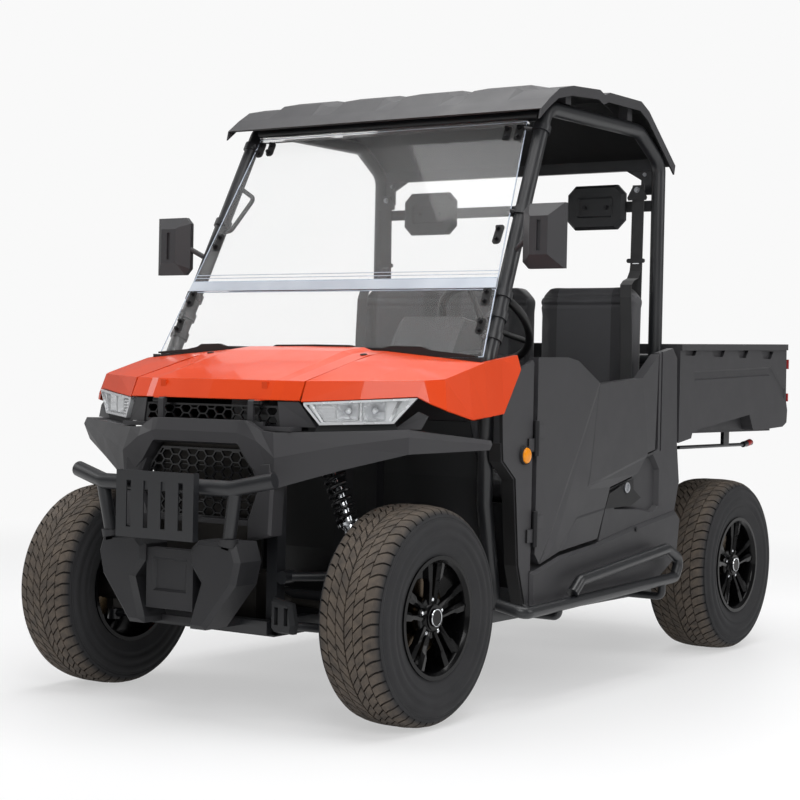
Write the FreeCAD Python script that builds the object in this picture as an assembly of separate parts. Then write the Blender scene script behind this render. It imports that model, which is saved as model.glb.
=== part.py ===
import FreeCAD, Part
import os
from math import cos, radians, sin, tan

from FreeCAD import Vector

# A two-seat side by side utility vehicle: tube chassis, open cab with half doors, tilting
# cargo bed. Millimetres. The front faces -Y, the vehicle's left is +X, the ground is z = 0
# and y = 0 lies midway between the axles.

# Driving dimensions: wheels and stance
wheelbase = 2130
tyre_radius = 330
tyre_outer_x = 720
front_tyre_width = 235
rear_tyre_width = 260
bead_radius = 178
kingpin_inset = 135

# Driving dimensions: chassis
rail_drop = 70
rail_size = 40
rail_x = 230
front_overhang = 235
rear_overhang = 375
front_deck_rise = 590
rear_deck_rise = 470

# Driving dimensions: body and roof
body_inset = 20
cab_inset = 135
sill_inset = 110
cab_front_gap = 465
cab_rear_gap = 629
waist_rise = 850
roof_rise = 1770
door_front_gap = 100
door_rear_gap = 81
bed_gap = 96
bed_floor_rise = 585
bed_overhang = 271
cage_radius = 25

# Clearances
seat_gap = 0.3
pin_gap = 0.4
moving_gap = 6
overrun = 20

# Stations that follow
front_axle_y = -wheelbase / 2
rear_axle_y = wheelbase / 2
base_z = tyre_radius - rail_drop
rail_top = base_z + rail_size
rail_face = rail_x + rail_size / 2
nose_y = front_axle_y - front_overhang
tail_y = rear_axle_y + rear_overhang
front_deck_z = base_z + front_deck_rise
rear_deck_z = base_z + rear_deck_rise
kingpin_x = tyre_outer_x - kingpin_inset
body_x = tyre_outer_x - body_inset
cab_x = body_x - cab_inset
sill_x = body_x - sill_inset
cab_front_y = front_axle_y + cab_front_gap
cab_rear_y = rear_axle_y - cab_rear_gap
cab_length = cab_rear_y - cab_front_y
nose_length = cab_front_y - nose_y
waist_z = base_z + waist_rise
roof_z = base_z + roof_rise
door_front_y = cab_front_y + door_front_gap
door_rear_y = cab_rear_y - door_rear_gap
bed_front_y = cab_rear_y + bed_gap
bed_floor_z = base_z + bed_floor_rise
X = Vector(1, 0, 0)
Y = Vector(0, 1, 0)
Z = Vector(0, 0, 1)
origin = Vector(0, 0, 0)


# Shape helpers
def block(x0, x1, y0, y1, z0, z1):
    return Part.makeBox(x1 - x0, y1 - y0, z1 - z0, Vector(x0, y0, z0))


def face_of(points):
    return Part.Face(Part.makePolygon(points + points[:1]))


def at_side(outline, x):
    return [Vector(x, y, z) for y, z in outline]


def at_front(outline, y):
    return [Vector(x, y, z) for x, z in outline]


def side_prism(outline, x0, x1):
    """An outline of (y, z) pairs, as thick as x0 to x1."""
    return face_of(at_side(outline, x0)).extrude(X * (x1 - x0))


def front_prism(outline, y0, y1):
    """An outline of (x, z) pairs, as thick as y0 to y1."""
    return face_of(at_front(outline, y0)).extrude(Y * (y1 - y0))


def rod(start, end, radius):
    return Part.makeCylinder(radius, (end - start).Length, start, end - start)


def mirrored(shape):
    return shape.mirror(origin, X)


def both(shape):
    return Part.makeCompound([shape, mirrored(shape)])


def fused(shapes):
    return shapes[0].multiFuse(shapes[1:]).removeSplitter()


def scaled(table, u0, length, v0, height):
    """A table of shares laid out from (u0, v0) over a length and a height."""
    return [(u0 + along * length, v0 + up * height) for along, up in table]


def cab_side(table):
    """Shares of the cab's length and of the waist's height, as (y, z) pairs."""
    return scaled(table, cab_front_y, cab_length, base_z, waist_rise)


def nose_side(table):
    """Shares of the nose's length and of the waist's height, as (y, z) pairs."""
    return scaled(table, nose_y, nose_length, base_z, waist_rise)


def nose_point(across, along, up):
    """Shares of the body's half width, the nose's length and the waist's height."""
    return Vector(across * body_x, nose_y + along * nose_length, base_z + up * waist_rise)


def along_line(start, end, share):
    return start + (end - start) * share


def inset(outline, depth):
    """The outline drawn in by a depth all round, its corners mitred."""
    pairs = zip(outline, outline[1:] + outline[:1])
    turn = sum(a[0] * b[1] - a[1] * b[0] for a, b in pairs)
    side = depth if turn > 0 else -depth
    points = [Vector(u, v, 0) for u, v in outline]
    result = []
    for before, corner, after in zip(points[-1:] + points[:-1], points, points[1:] + points[:1]):
        first = Z.cross((corner - before).normalize())
        second = Z.cross((after - corner).normalize())
        moved = corner + (first + second) * (side / (1 + first.dot(second)))
        result.append((moved.x, moved.y))
    return result


def frustum(low, high):
    """A solid between two like loops of points."""
    loops = [Part.makePolygon(points + points[:1]) for points in (low, high)]
    return Part.makeLoft(loops, True, True)


def bent_tube(points, radius, bend):
    """Straight runs joined by tangent arcs, swept with a round section."""
    edges = []
    start = points[0]
    for before, corner, after in zip(points, points[1:], points[2:]):
        back = (before - corner).normalize()
        ahead = (after - corner).normalize()
        half = back.getAngle(ahead) / 2
        enter = corner + back * (bend / tan(half))
        leave = corner + ahead * (bend / tan(half))
        middle = corner + (back + ahead).normalize() * (bend / sin(half) - bend)
        edges.append(Part.LineSegment(start, enter).toShape())
        edges.append(Part.Arc(enter, middle, leave).toShape())
        start = leave
    edges.append(Part.LineSegment(start, points[-1]).toShape())
    ring = Part.Wire(Part.makeCircle(radius, points[0], points[1] - points[0]))
    return Part.Wire(edges).makePipeShell([ring], True, False)


def skin_wire(points, across, wall):
    """A closed wire: a line of points and its parallel one wall away, in the plane across."""
    normals = [(b - a).normalize().cross(across) for a, b in zip(points, points[1:])]
    copies = []
    for index, point in enumerate(points):
        first = normals[max(index - 1, 0)]
        second = normals[min(index, len(normals) - 1)]
        copies.append(point + (first + second) * (wall / (1 + first.dot(second))))
    loop = points + copies[::-1]
    return Part.makePolygon(loop + loop[:1])


def side_panel(stations, wall):
    """A panel lofted between lines of (y, z) pairs that stand at given x."""
    wires = [skin_wire(at_side(line, x), X, wall) for x, line in stations]
    return Part.makeLoft(wires, True, True)


def closed_solid(faces):
    solid = Part.makeSolid(Part.makeShell(faces))
    if solid.Volume < 0:
        solid.reverse()
    return solid


def moulding(points, cells, back):
    """A faceted moulding: cells join named points, and back gives each point's place behind."""
    triangles = []
    for cell in cells:
        names = cell.split()
        triangles += [(names[0], b, c) for b, c in zip(names[1:], names[2:])]
    behind = {name: back(point) for name, point in points.items()}
    rim = set()
    faces = []
    for names in triangles:
        faces.append(face_of([points[name] for name in names]))
        faces.append(face_of([behind[name] for name in names]))
        for edge in zip(names, names[1:] + names[:1]):
            if edge[::-1] in rim:
                rim.remove(edge[::-1])
            else:
                rim.add(edge)
    for a, b in sorted(rim):
        faces.append(face_of([points[a], points[b], behind[b]]))
        faces.append(face_of([points[a], behind[b], behind[a]]))
    return closed_solid(faces)


def faceted(rows, wall):
    """A moulded skin one wall thick: rows of points joined by flat triangles."""
    last_row = len(rows) - 1
    last = len(rows[0]) - 1
    normals = [[Vector() for point in row] for row in rows]
    outer = []
    for i in range(last_row):
        for j in range(last):
            corners = [(i, j), (i + 1, j), (i + 1, j + 1), (i, j + 1)]
            for picks in ((0, 1, 2), (0, 2, 3)):
                triangle = [corners[k] for k in picks]
                a, b, c = [rows[m][n] for m, n in triangle]
                normal = (b - a).cross(c - a).normalize()
                for m, n in triangle:
                    normals[m][n] = normals[m][n] + normal
                outer.append(triangle)
    under = [[p + n.normalize() * wall for p, n in zip(row, side)] for row, side in zip(rows, normals)]
    faces = [face_of([rows[m][n] for m, n in triangle]) for triangle in outer]
    faces += [face_of([under[m][n] for m, n in triangle]) for triangle in outer]
    rim = [(i, 0) for i in range(last_row)] + [(last_row, j) for j in range(last)]
    rim += [(i, last) for i in range(last_row, 0, -1)] + [(0, j) for j in range(last, 0, -1)]
    for (i, j), (m, n) in zip(rim, rim[1:] + rim[:1]):
        faces.append(face_of([rows[i][j], rows[m][n], under[m][n]]))
        faces.append(face_of([rows[i][j], under[m][n], under[i][j]]))
    return closed_solid(faces)


def tilted_slab(foot, along, outline, depth):
    """An outline of (run, z) pairs on an upright plane, thickened by depth to its back."""
    points = [foot + along * run + Z * z for run, z in outline]
    return face_of(points).extrude(along.cross(Z).normalize() * -depth)


def height_on(line, y):
    """The height of a line of (y, z) pairs at a given y."""
    for (y0, z0), (y1, z1) in zip(line, line[1:]):
        if y0 <= y <= y1:
            return z0 + (z1 - z0) * (y - y0) / (y1 - y0)


def hinge_pair(centre, axis, pin_radius, barrel_radius, length):
    """A fixed barrel with its pin, and the barrel that turns on that pin."""
    fixed = rod(centre - axis * length, centre - axis * (seat_gap / 2), barrel_radius)
    pin = rod(centre - axis * length, centre + axis * length, pin_radius)
    turning = rod(centre + axis * (seat_gap / 2), centre + axis * length, barrel_radius)
    bore = rod(centre - axis * overrun, centre + axis * (length + overrun), pin_radius + pin_gap)
    return fixed.fuse(pin), turning.cut(bore)


# Tyres
tyre_wall = 16
bead_seat_share = 0.07
crown_share = 0.22
rim_lip = 6
sidewall_shares = [(0.07, 0), (0.07, 0.059), (0.02, 0.26), (0, 0.45), (0.01, 0.66), (0.045, 0.84),
                   (0.11, 0.935), (0.22, 0.98), (0.36, 1)]


def tyre(width):
    """Hollow tyre about the X axis, with its outer face at the stance's outer face."""
    middle = tyre_outer_x - width / 2
    half = [(tyre_outer_x - u * width, bead_radius + v * (tyre_radius - bead_radius))
            for u, v in sidewall_shares]
    belly = half[3][1]
    shoulder = half[6][1] - tyre_wall / 2
    hollow = [(half[0][0] - tyre_wall, bead_radius), (tyre_outer_x - tyre_wall, belly),
              (tyre_outer_x - crown_share * width, shoulder)]
    outline = half + [(2 * middle - x, r) for x, r in reversed(half)]
    cavity = hollow + [(2 * middle - x, r) for x, r in reversed(hollow)]
    section = face_of([Vector(x, 0, r) for x, r in outline + cavity[::-1]])
    return section.revolve(origin, X, 360)


# Rims: cast wheel with paired spokes
rim_wall = 6
rim_shoulder = 10
spoke_face_inset = 12
spoke_wall = 26
spoke_rise = 9
hub_inset = 88
disc_inset = 79
spindle_radius = 20
hub_radius = 45
disc_radius = 112
disc_wall = 6
boss_radius = 38
boss_height = 5
cap_radius = 27
cap_height = 10
lug_circle = 53
lug_radius = 8
lug_height = 10
lug_count = 5
spoke_count = 5
window_shares = [(0.42, 9), (0.5, 15), (0.66, 16.5), (0.74, 15), (1, 20)]
groove_foot_share = 0.48
groove_end_share = 0.96
groove_foot_half = 3
groove_end_half = 11
groove_depth = 14
hub_inner_x = tyre_outer_x - hub_inset
disc_x = tyre_outer_x - disc_inset


def spoke_window(back_x, reach, centre):
    """The open window between two pairs of spokes, cut right through."""
    half = [(share * reach, angle) for share, angle in window_shares]
    corners = [(r, -a) for r, a in half] + [(r, a) for r, a in reversed(half)]
    points = [Vector(back_x - overrun, r * cos(radians(centre + a)), r * sin(radians(centre + a)))
              for r, a in corners]
    return face_of(points).extrude(X * (spoke_wall + 3 * overrun))


def spoke_groove(face_x, reach, angle):
    """The sharp groove that parts a pair of spokes, wider and deeper towards the barrel."""
    loops = []
    for share, half, depth in ((groove_foot_share, groove_foot_half, groove_depth / 2),
                               (groove_end_share, groove_end_half, groove_depth)):
        top = face_x + spoke_rise + overrun
        loops.append([Vector(top, share * reach, -half), Vector(face_x, share * reach, -half),
                      Vector(face_x - depth, share * reach, 0), Vector(face_x, share * reach, half),
                      Vector(top, share * reach, half)])
    groove = frustum(*loops)
    groove.rotate(origin, X, angle)
    return groove


def rim(width):
    """Cast wheel about the X axis: barrel, paired spokes, hub, brake disc, cap and lug nuts."""
    seat = width * bead_seat_share
    outer = tyre_outer_x - seat
    inner = tyre_outer_x - width + seat
    base = bead_radius - seat_gap
    lip = bead_radius + rim_lip
    well = base - rim_wall
    drop = well - rim_shoulder
    bore = spindle_radius + pin_gap
    face_x = outer - spoke_face_inset
    back_x = face_x - spoke_wall
    outline = [(hub_inner_x, bore), (hub_inner_x, hub_radius), (disc_x, hub_radius), (disc_x, disc_radius),
               (disc_x + disc_wall, disc_radius), (disc_x + disc_wall, hub_radius), (back_x, hub_radius),
               (back_x, drop), (inner + rim_shoulder, drop), (inner - rim_lip, well),
               (inner - rim_lip, lip), (inner - seat_gap, lip), (inner, base),
               (inner + rim_shoulder, base - rim_shoulder), (back_x, base - rim_shoulder),
               (outer - rim_shoulder * 2, base), (outer + seat_gap, base), (outer + seat_gap, lip),
               (outer + rim_lip, lip), (outer + rim_lip, well), (face_x + spoke_rise, drop),
               (face_x, lug_circle), (face_x, boss_radius), (face_x + boss_height, boss_radius),
               (face_x + boss_height, cap_radius), (face_x + cap_height, cap_radius),
               (face_x + cap_height, 0), (back_x - seat_gap, 0), (back_x - seat_gap, bore)]
    wheel = face_of([Vector(x, 0, r) for x, r in outline]).revolve(origin, X, 360)
    step = 360 / spoke_count
    for index in range(spoke_count):
        wheel = wheel.cut(spoke_window(back_x, drop - rim_wall, index * step))
        wheel = wheel.cut(spoke_groove(face_x, drop, (index + 0.5) * step))
    for index in range(lug_count):
        angle = radians((index + 0.5) * 360 / lug_count)
        foot = Vector(face_x - lug_height, lug_circle * cos(angle), lug_circle * sin(angle))
        wheel = wheel.fuse(rod(foot, foot + X * (2 * lug_height), lug_radius))
    return wheel


def on_axle(shape, axle_y):
    placed = shape.copy()
    placed.translate(Vector(0, axle_y, tyre_radius))
    return placed


# Steering knuckles
kingpin_half = 84
housing_radius = 52
housing_wall = 10
housing_reach = 40
bearing_gap = 8
joint_ball_radius = 28
post_half_x = 14
post_half_y = 22
spindle_end_gap = 4
steer_arm = 75
steer_arm_wall = 14
steer_arm_half = 12
tie_radius = 9
tie_eye_height = 22
caliper_half = 34
caliper_wall = 11
caliper_angle = 60
web_wall = 5
housing_inner_x = kingpin_x - housing_reach
housing_outer_x = hub_inner_x - bearing_gap


def knuckle(steered):
    """Upright on the kingpin: housing, spindle, caliper and, where steered, its arm."""
    housing = rod(X * housing_inner_x, X * housing_outer_x, housing_radius)
    cavity = rod(X * (housing_inner_x - overrun), X * (housing_outer_x - web_wall),
                 housing_radius - housing_wall)
    post = block(kingpin_x - post_half_x, kingpin_x + post_half_x, -post_half_y, post_half_y,
                 -kingpin_half, kingpin_half)
    face_x = tyre_outer_x - front_tyre_width * bead_seat_share - spoke_face_inset
    stub = rod(X * (housing_outer_x - web_wall), X * (face_x - spoke_wall - spindle_end_gap), spindle_radius)
    shoulder = rod(X * housing_outer_x, X * (hub_inner_x - seat_gap), hub_radius)
    caliper = block(disc_x - caliper_wall, disc_x + disc_wall + caliper_wall, -caliper_half, caliper_half,
                    disc_radius - caliper_wall, disc_radius + caliper_wall)
    slot = block(disc_x - moving_gap, disc_x + disc_wall + moving_gap, -caliper_half - overrun,
                 caliper_half + overrun, 0, disc_radius + moving_gap)
    carrier = block(housing_outer_x - web_wall * 3, disc_x - moving_gap, -caliper_half / 2,
                    caliper_half / 2, housing_radius - web_wall, disc_radius + caliper_wall)
    caliper = caliper.cut(slot).fuse(carrier)
    caliper.rotate(origin, X, caliper_angle)
    shapes = [housing, post, shoulder, stub, caliper]
    if steered:
        level = -tie_eye_height / 2
        shapes.append(block(kingpin_x - steer_arm_half, kingpin_x + steer_arm_half, post_half_y,
                            steer_arm + steer_arm_half, level - steer_arm_wall, level))
    return fused(shapes).cut(cavity)


def tie_rods():
    """Rack bar and tie rods in one line, with an eye over each steering arm."""
    low = tyre_radius - tie_eye_height / 2 + seat_gap
    level = low + tie_eye_height
    y = front_axle_y + steer_arm
    bar = rod(Vector(-kingpin_x, y, level), Vector(kingpin_x, y, level), tie_radius)
    eyes = [Part.makeCylinder(steer_arm_half, tie_eye_height, Vector(side * kingpin_x, y, low))
            for side in (-1, 1)]
    return fused([bar] + eyes)


rack_housing_radius = 20
rack_housing_half = 265


def rack_housing():
    """Tube round the steering rack on two feet that stand on the rails."""
    level = tyre_radius + tie_eye_height / 2 + seat_gap
    y = front_axle_y + steer_arm
    tube = rod(Vector(-rack_housing_half, y, level), Vector(rack_housing_half, y, level), rack_housing_radius)
    feet = [block(side * rail_x - rail_size / 4, side * rail_x + rail_size / 4, y - rack_housing_radius,
                  y + rack_housing_radius, rail_top + seat_gap, level) for side in (-1, 1)]
    reach = rack_housing_half + overrun
    bore = rod(Vector(-reach, y, level), Vector(reach, y, level), tie_radius + pin_gap)
    return fused([tube] + feet).cut(bore)


# Suspension
arm_spread = 170
arm_tube = 14
arm_gap = 55
eye_radius = 20
eye_length = 50
ball_radius = 22
ball_height = 34
lower_eye_drop = 15
upper_eye_rise = 130
shock_foot_gap = 23
shock_eye = 16
damper_radius = 20
spring_radius = 36
damper_start_share = 0.06
spring_start_share = 0.36
spring_end_share = 0.86
half_shaft_radius = 13
boot_radius = 36
boot_length = 70
gearcase_half = 95
lower_ball_z = tyre_radius - kingpin_half - seat_gap - ball_height / 2
upper_ball_z = tyre_radius + kingpin_half + seat_gap + ball_height / 2
lower_eye_z = rail_top - lower_eye_drop
upper_eye_z = rail_top + upper_eye_rise
arm_join_x = tyre_outer_x - rear_tyre_width - arm_gap


def arm_pair(axle_y, eye_z, ball_z):
    """One A-arm: two legs from the chassis eyes that meet in a bar with its ball joint."""
    eye_x = rail_face + seat_gap + eye_radius
    level = (arm_join_x - eye_x) / (kingpin_x - eye_x)
    join = Vector(arm_join_x, axle_y, eye_z + (ball_z - eye_z) * level)
    ball = Vector(kingpin_x, axle_y, ball_z)
    shapes = [rod(join, ball, arm_tube)]
    for side in (-1, 1):
        eye = Vector(eye_x, axle_y + side * arm_spread, eye_z)
        shapes.append(rod(eye - Y * (eye_length / 2), eye + Y * (eye_length / 2), eye_radius))
        shapes.append(rod(eye, join, arm_tube))
    shapes.append(Part.makeSphere(arm_tube, join))
    shapes.append(Part.makeCylinder(ball_radius, ball_height, ball - Z * (ball_height / 2)))
    return fused(shapes)


def suspension_arms():
    arms = []
    for axle_y in (front_axle_y, rear_axle_y):
        arms.append(arm_pair(axle_y, lower_eye_z, lower_ball_z))
        arms.append(arm_pair(axle_y, upper_eye_z, upper_ball_z))
    return Part.makeCompound(arms + [mirrored(arm) for arm in arms])


arm_guard_half = 42
arm_guard_wall = 34
arm_guard_top = 86
arm_guard_taper = 14
guard_slot_half = 7
guard_slot_pitch = 36
guard_slot_margin = 26


def arm_guards():
    """Moulded covers in front of the inner ends of the lower front arms."""
    x0 = rail_face + moving_gap
    x1 = x0 + arm_guard_half * 2
    z0 = base_z + moving_gap
    z1 = lower_eye_z + arm_guard_top
    rear_y = front_axle_y - arm_spread - eye_length / 2 - seat_gap
    middle_y = rear_y - arm_guard_wall / 2
    outline = [(x0 + arm_guard_taper, z0), (x1 - arm_guard_taper / 2, z0), (x1, z0 + arm_guard_taper * 2),
               (x1 - arm_guard_taper, z1 - arm_guard_taper), (x0, z1), (x0, z0 + arm_guard_taper)]
    cover = front_prism(outline, middle_y, rear_y)
    cover = cover.fuse(frustum(at_front(outline, middle_y),
                               at_front(inset(outline, arm_guard_taper / 2), rear_y - arm_guard_wall)))
    for side in (-1, 1):
        centre = x0 + arm_guard_half + side * guard_slot_pitch / 2
        cover = cover.cut(block(centre - guard_slot_half, centre + guard_slot_half,
                                rear_y - arm_guard_wall - overrun, middle_y, z0 + guard_slot_margin,
                                z1 - guard_slot_margin))
    return both(cover.removeSplitter())


def shock(axle_y, top_z):
    """Coil-over damper between the deck and the upper arm."""
    head = Vector(rail_face + seat_gap + shock_eye, axle_y, top_z)
    foot = Vector(arm_join_x + shock_foot_gap, axle_y,
                  max(upper_ball_z, upper_eye_z) + arm_tube + shock_eye + seat_gap)
    spring_foot = along_line(foot, head, spring_start_share)
    spring_head = along_line(foot, head, spring_end_share)
    return fused([rod(foot - Y * shock_eye, foot + Y * shock_eye, shock_eye),
                  rod(head - Y * shock_eye, head + Y * shock_eye, shock_eye),
                  rod(foot, head, damper_radius / 2),
                  rod(along_line(foot, head, damper_start_share), spring_head, damper_radius),
                  rod(spring_foot, spring_head, spring_radius)])


def shock_absorbers():
    shocks = [shock(front_axle_y, front_deck_z), shock(rear_axle_y, rear_deck_z)]
    return Part.makeCompound(shocks + [mirrored(s) for s in shocks])


def half_shaft(axle_y):
    centre = Vector(0, axle_y, tyre_radius)
    inner = centre + X * (gearcase_half + seat_gap)
    outer = centre + X * kingpin_x
    boot = Part.makeCone(boot_radius, half_shaft_radius, boot_length, inner, X)
    return fused([rod(inner, outer, half_shaft_radius), boot, Part.makeSphere(joint_ball_radius, outer)])


def half_shafts():
    shafts = [half_shaft(front_axle_y), half_shaft(rear_axle_y)]
    return Part.makeCompound(shafts + [mirrored(s) for s in shafts])


# Chassis frame
deck_end = 270
deck_front_gap = 105
pivot_inset = 100
pivot_rise = 55
guard_ear = 16
ear_half = 8
pin_reach = 22
pivot_pin_radius = 8
pivot_lug_wall = 10
mid_cross_share = 0.56
bed_rest_share = 0.12
half_rail = rail_size / 2
front_deck_rear_y = cab_front_y - deck_front_gap
rear_deck_front_y = cab_rear_y + rail_size
rear_deck_rear_y = rear_axle_y + deck_end
pivot_y = rear_deck_rear_y - pivot_inset
pivot_z = rear_deck_z + pivot_rise
bed_rear_y = pivot_y + bed_overhang
bed_length = bed_rear_y - bed_front_y
sill_rear_y = cab_rear_y + rail_size * 2
outrigger_ys = (cab_front_y + rail_size, cab_front_y + mid_cross_share * cab_length, cab_rear_y + rail_size)
cross_ys = (nose_y + half_rail, front_axle_y + arm_spread + rail_size,
            rear_axle_y - arm_spread - rail_size, tail_y - half_rail)


def cross_bar(x1, y, z):
    return block(0, x1, y - half_rail, y + half_rail, z - half_rail, z + half_rail)


def beam(x, y0, y1, z):
    return block(x - half_rail, x + half_rail, y0, y1, z - half_rail, z + half_rail)


def upright(y, top):
    return block(rail_x - half_rail, rail_face, y - half_rail, y + half_rail, rail_top, top)


def whole(half_shapes):
    half = fused(half_shapes)
    return fused([half, mirrored(half)])


def frame():
    """Welded square tube: lower rails, cross members, outriggers and sills."""
    level = base_z + half_rail
    half = [beam(rail_x, nose_y, tail_y, level), beam(sill_x, cab_front_y, sill_rear_y, level)]
    half += [cross_bar(sill_x, y, level) for y in outrigger_ys]
    half += [cross_bar(rail_x, y, level) for y in cross_ys]
    return whole(half)


def front_deck():
    """Upper front frame: side beams on uprights that carry the front suspension."""
    half = [beam(rail_x, nose_y, front_deck_rear_y, front_deck_z)]
    for y in (front_axle_y - arm_spread, front_axle_y + arm_spread, front_deck_rear_y - half_rail):
        half.append(upright(y, front_deck_z))
    half += [cross_bar(rail_x, y, front_deck_z) for y in (nose_y + half_rail, front_deck_rear_y - half_rail)]
    return whole(half)


def rear_deck():
    """Upper rear frame: side beams on uprights, with the pivot pins of the bed."""
    front_y = rear_deck_front_y + half_rail
    half = [beam(rail_x, rear_deck_front_y, rear_deck_rear_y, rear_deck_z),
            cross_bar(rail_x, front_y, rear_deck_z)]
    for y in (front_y, rear_axle_y - arm_spread, rear_axle_y + arm_spread):
        half.append(upright(y, rear_deck_z))
    half.append(block(rail_x - ear_half, rail_x + ear_half, pivot_y - guard_ear, pivot_y + guard_ear,
                      rear_deck_z, pivot_z + guard_ear))
    half.append(rod(Vector(rail_x - pin_reach, pivot_y, pivot_z), Vector(rail_x + pin_reach, pivot_y, pivot_z),
                    pivot_pin_radius))
    return whole(half)


def rest_pads():
    """Rubber pads on the rear deck that the lowered bed rests on."""
    foot = Vector(rail_x, bed_front_y + bed_rest_share * bed_length, rear_deck_z + half_rail)
    return both(rod(foot, Vector(foot.x, foot.y, bed_floor_z - seat_gap), half_rail))


# Skid plates
skid_wall = 5
skid_margin = 10
skid_front_share = 0.145
skid_half = rail_face + skid_margin * 2
skid_split_ys = (nose_y + skid_margin, cab_front_y + skid_front_share * cab_length,
                 cab_rear_y + skid_margin, tail_y - skid_margin)


def skid_plates():
    plates = []
    for y0, y1 in zip(skid_split_ys, skid_split_ys[1:]):
        plates.append(block(-skid_half, skid_half, y0, y1 - moving_gap, base_z - skid_wall, base_z))
    return Part.makeCompound(plates)


# Power unit, gear cases and radiator
engine_half = 195
engine_gap = 94
engine_rise = 390
case_reach = 95
case_rise = 120
front_case_tail = 45
radiator_half = 190
radiator_wall = 36
radiator_low_rise = 220


def powertrain():
    """One block for the engine, its gearbox and the rear case, and one for the front case."""
    engine_rear_y = rear_axle_y - case_reach * 2
    engine = block(-engine_half, engine_half, cab_rear_y + engine_gap, engine_rear_y, rail_top,
                   rail_top + engine_rise)
    case = block(-gearcase_half, gearcase_half, engine_rear_y, rear_axle_y + case_reach, rail_top,
                 rail_top + case_rise)
    front_case = block(-gearcase_half, gearcase_half, front_axle_y - case_reach,
                       front_axle_y + front_case_tail, base_z, rail_top + case_rise)
    return Part.makeCompound([fused([engine, case]), front_case])


def radiator():
    """Cooling core hung under the front cross member, behind the lower grille."""
    y0 = nose_y + moving_gap
    return block(-radiator_half, radiator_half, y0, y0 + radiator_wall, base_z + radiator_low_rise,
                 front_deck_z - half_rail - seat_gap)


# Cab tub
cab_wall = 5
toe_shares = [(0.058, 0), (0.01, 0.174), (-0.019, 0.488), (-0.087, 0.698)]
bulkhead_rise = 860
seat_base_share = 0.521
seat_base_rise = 300
toe_line = scaled(toe_shares, cab_front_y, cab_length, rail_top, bulkhead_rise)
seat_base_front_y = cab_front_y + seat_base_share * cab_length
seat_base_top_z = rail_top + seat_base_rise


def floor_tub():
    """Floor, toe board, seat base and rear bulkhead of the cab in one moulding."""
    wall_y = cab_rear_y + cab_wall
    line = [(wall_y, rail_top + bulkhead_rise), (wall_y, rail_top)] + toe_line
    shell = Part.Face(skin_wire(at_side(line, -cab_x), X, cab_wall)).extrude(X * (2 * cab_x))
    base = block(-cab_x, cab_x, seat_base_front_y, cab_rear_y, rail_top, seat_base_top_z)
    hollow = block(-cab_x + cab_wall, cab_x - cab_wall, seat_base_front_y + cab_wall, cab_rear_y - cab_wall,
                   rail_top + cab_wall, seat_base_top_z - cab_wall)
    return fused([shell, base.cut(hollow)])


# Seats and head restraints
cushion_wall = 100
cushion_nose = 15
seat_back_wall = 106
seat_back_rise = 805
seat_back_inset = 75
seat_split_share = 0.33
seat_round = 25
seat_chamfer = 45
headrest_x = 371
headrest_drop = 349
headrest_wide = 240
headrest_tall = 165
headrest_wall = 26
headbar_wall = 6
headbar_tall = 40
back_front_y = cab_rear_y - seat_back_wall
seat_split_x = seat_split_share * cab_x


def seat_cushion():
    """Bench cushion in two parts: a wide one and the driver's."""
    parts_x = ((-cab_x + cab_wall, seat_split_x - moving_gap), (seat_split_x, cab_x - cab_wall))
    cushions = []
    for x0, x1 in parts_x:
        shape = block(x0, x1, seat_base_front_y - cushion_nose, back_front_y - moving_gap,
                      seat_base_top_z + seat_gap, seat_base_top_z + cushion_wall)
        edges = [e for e in shape.Edges if abs(e.tangentAt(e.FirstParameter).dot(X)) == 1]
        cushions.append(shape.makeFillet(seat_round, edges))
    return Part.makeCompound(cushions)


def seat_back():
    """Backrests above the cushions, with their upper corners cut off."""
    low = seat_base_top_z + cushion_wall + moving_gap
    high = seat_base_top_z + seat_back_rise
    half = body_x - seat_back_inset
    backs = []
    for x0, x1 in ((-half, seat_split_x - moving_gap), (seat_split_x, half)):
        outline = [(x0, low), (x1, low), (x1, high - seat_chamfer), (x1 - seat_chamfer, high),
                   (x0 + seat_chamfer, high), (x0, high - seat_chamfer)]
        middle = back_front_y + seat_round
        shape = front_prism(outline, middle, cab_rear_y - seat_gap)
        face = frustum(at_front(outline, middle), at_front(inset(outline, seat_round), back_front_y))
        backs.append(shape.fuse(face).removeSplitter())
    return Part.makeCompound(backs)


# Roll cage
cage_bend = 70
cage_low_inset = 50
cage_high_inset = 96
cage_rear_inset = 82
knee_step = 40
knee_rise = 380
cage_low_step = 128
cage_low_drop = 20
cage_top_step = 284
cage_drop = 95
cage_rear_step = 51
cage_bend_step = 157
shoulder_drop = 97
rear_foot_rise = 160
beam_half = 20
cross_drop = 6
dash_beam_drop = 70
dash_beam_radius = 17
thin_bar_radius = 20
waist_bar_drop = 10
gusset_wall = 6
gusset_long = 130
gusset_tall = 75
belt_plate_tall = 90
belt_plate_wide = 44
handle_radius = 8
handle_bend = 20
handle_reach = 100
handle_shares = (0.74, 0.68, 0.54, 0.53)
rear_pillar_x = body_x - cage_rear_inset
rear_pillar_y = cab_rear_y + cage_rear_step
pillar_knee = Vector(sill_x + web_wall, cab_front_y - knee_step, base_z + knee_rise)
pillar_low = Vector(body_x - cage_low_inset, cab_front_y - cage_low_step, waist_z - cage_low_drop)
side_high = Vector(body_x - cage_high_inset, cab_front_y + cage_top_step, roof_z - cage_drop)
rear_high = Vector(rear_pillar_x - moving_gap, rear_pillar_y - cage_bend_step, roof_z - cage_drop)
rear_shoulder = Vector(rear_pillar_x, rear_pillar_y, roof_z - cage_drop - shoulder_drop)
rear_beam_z = rear_shoulder.z - cross_drop


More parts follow.
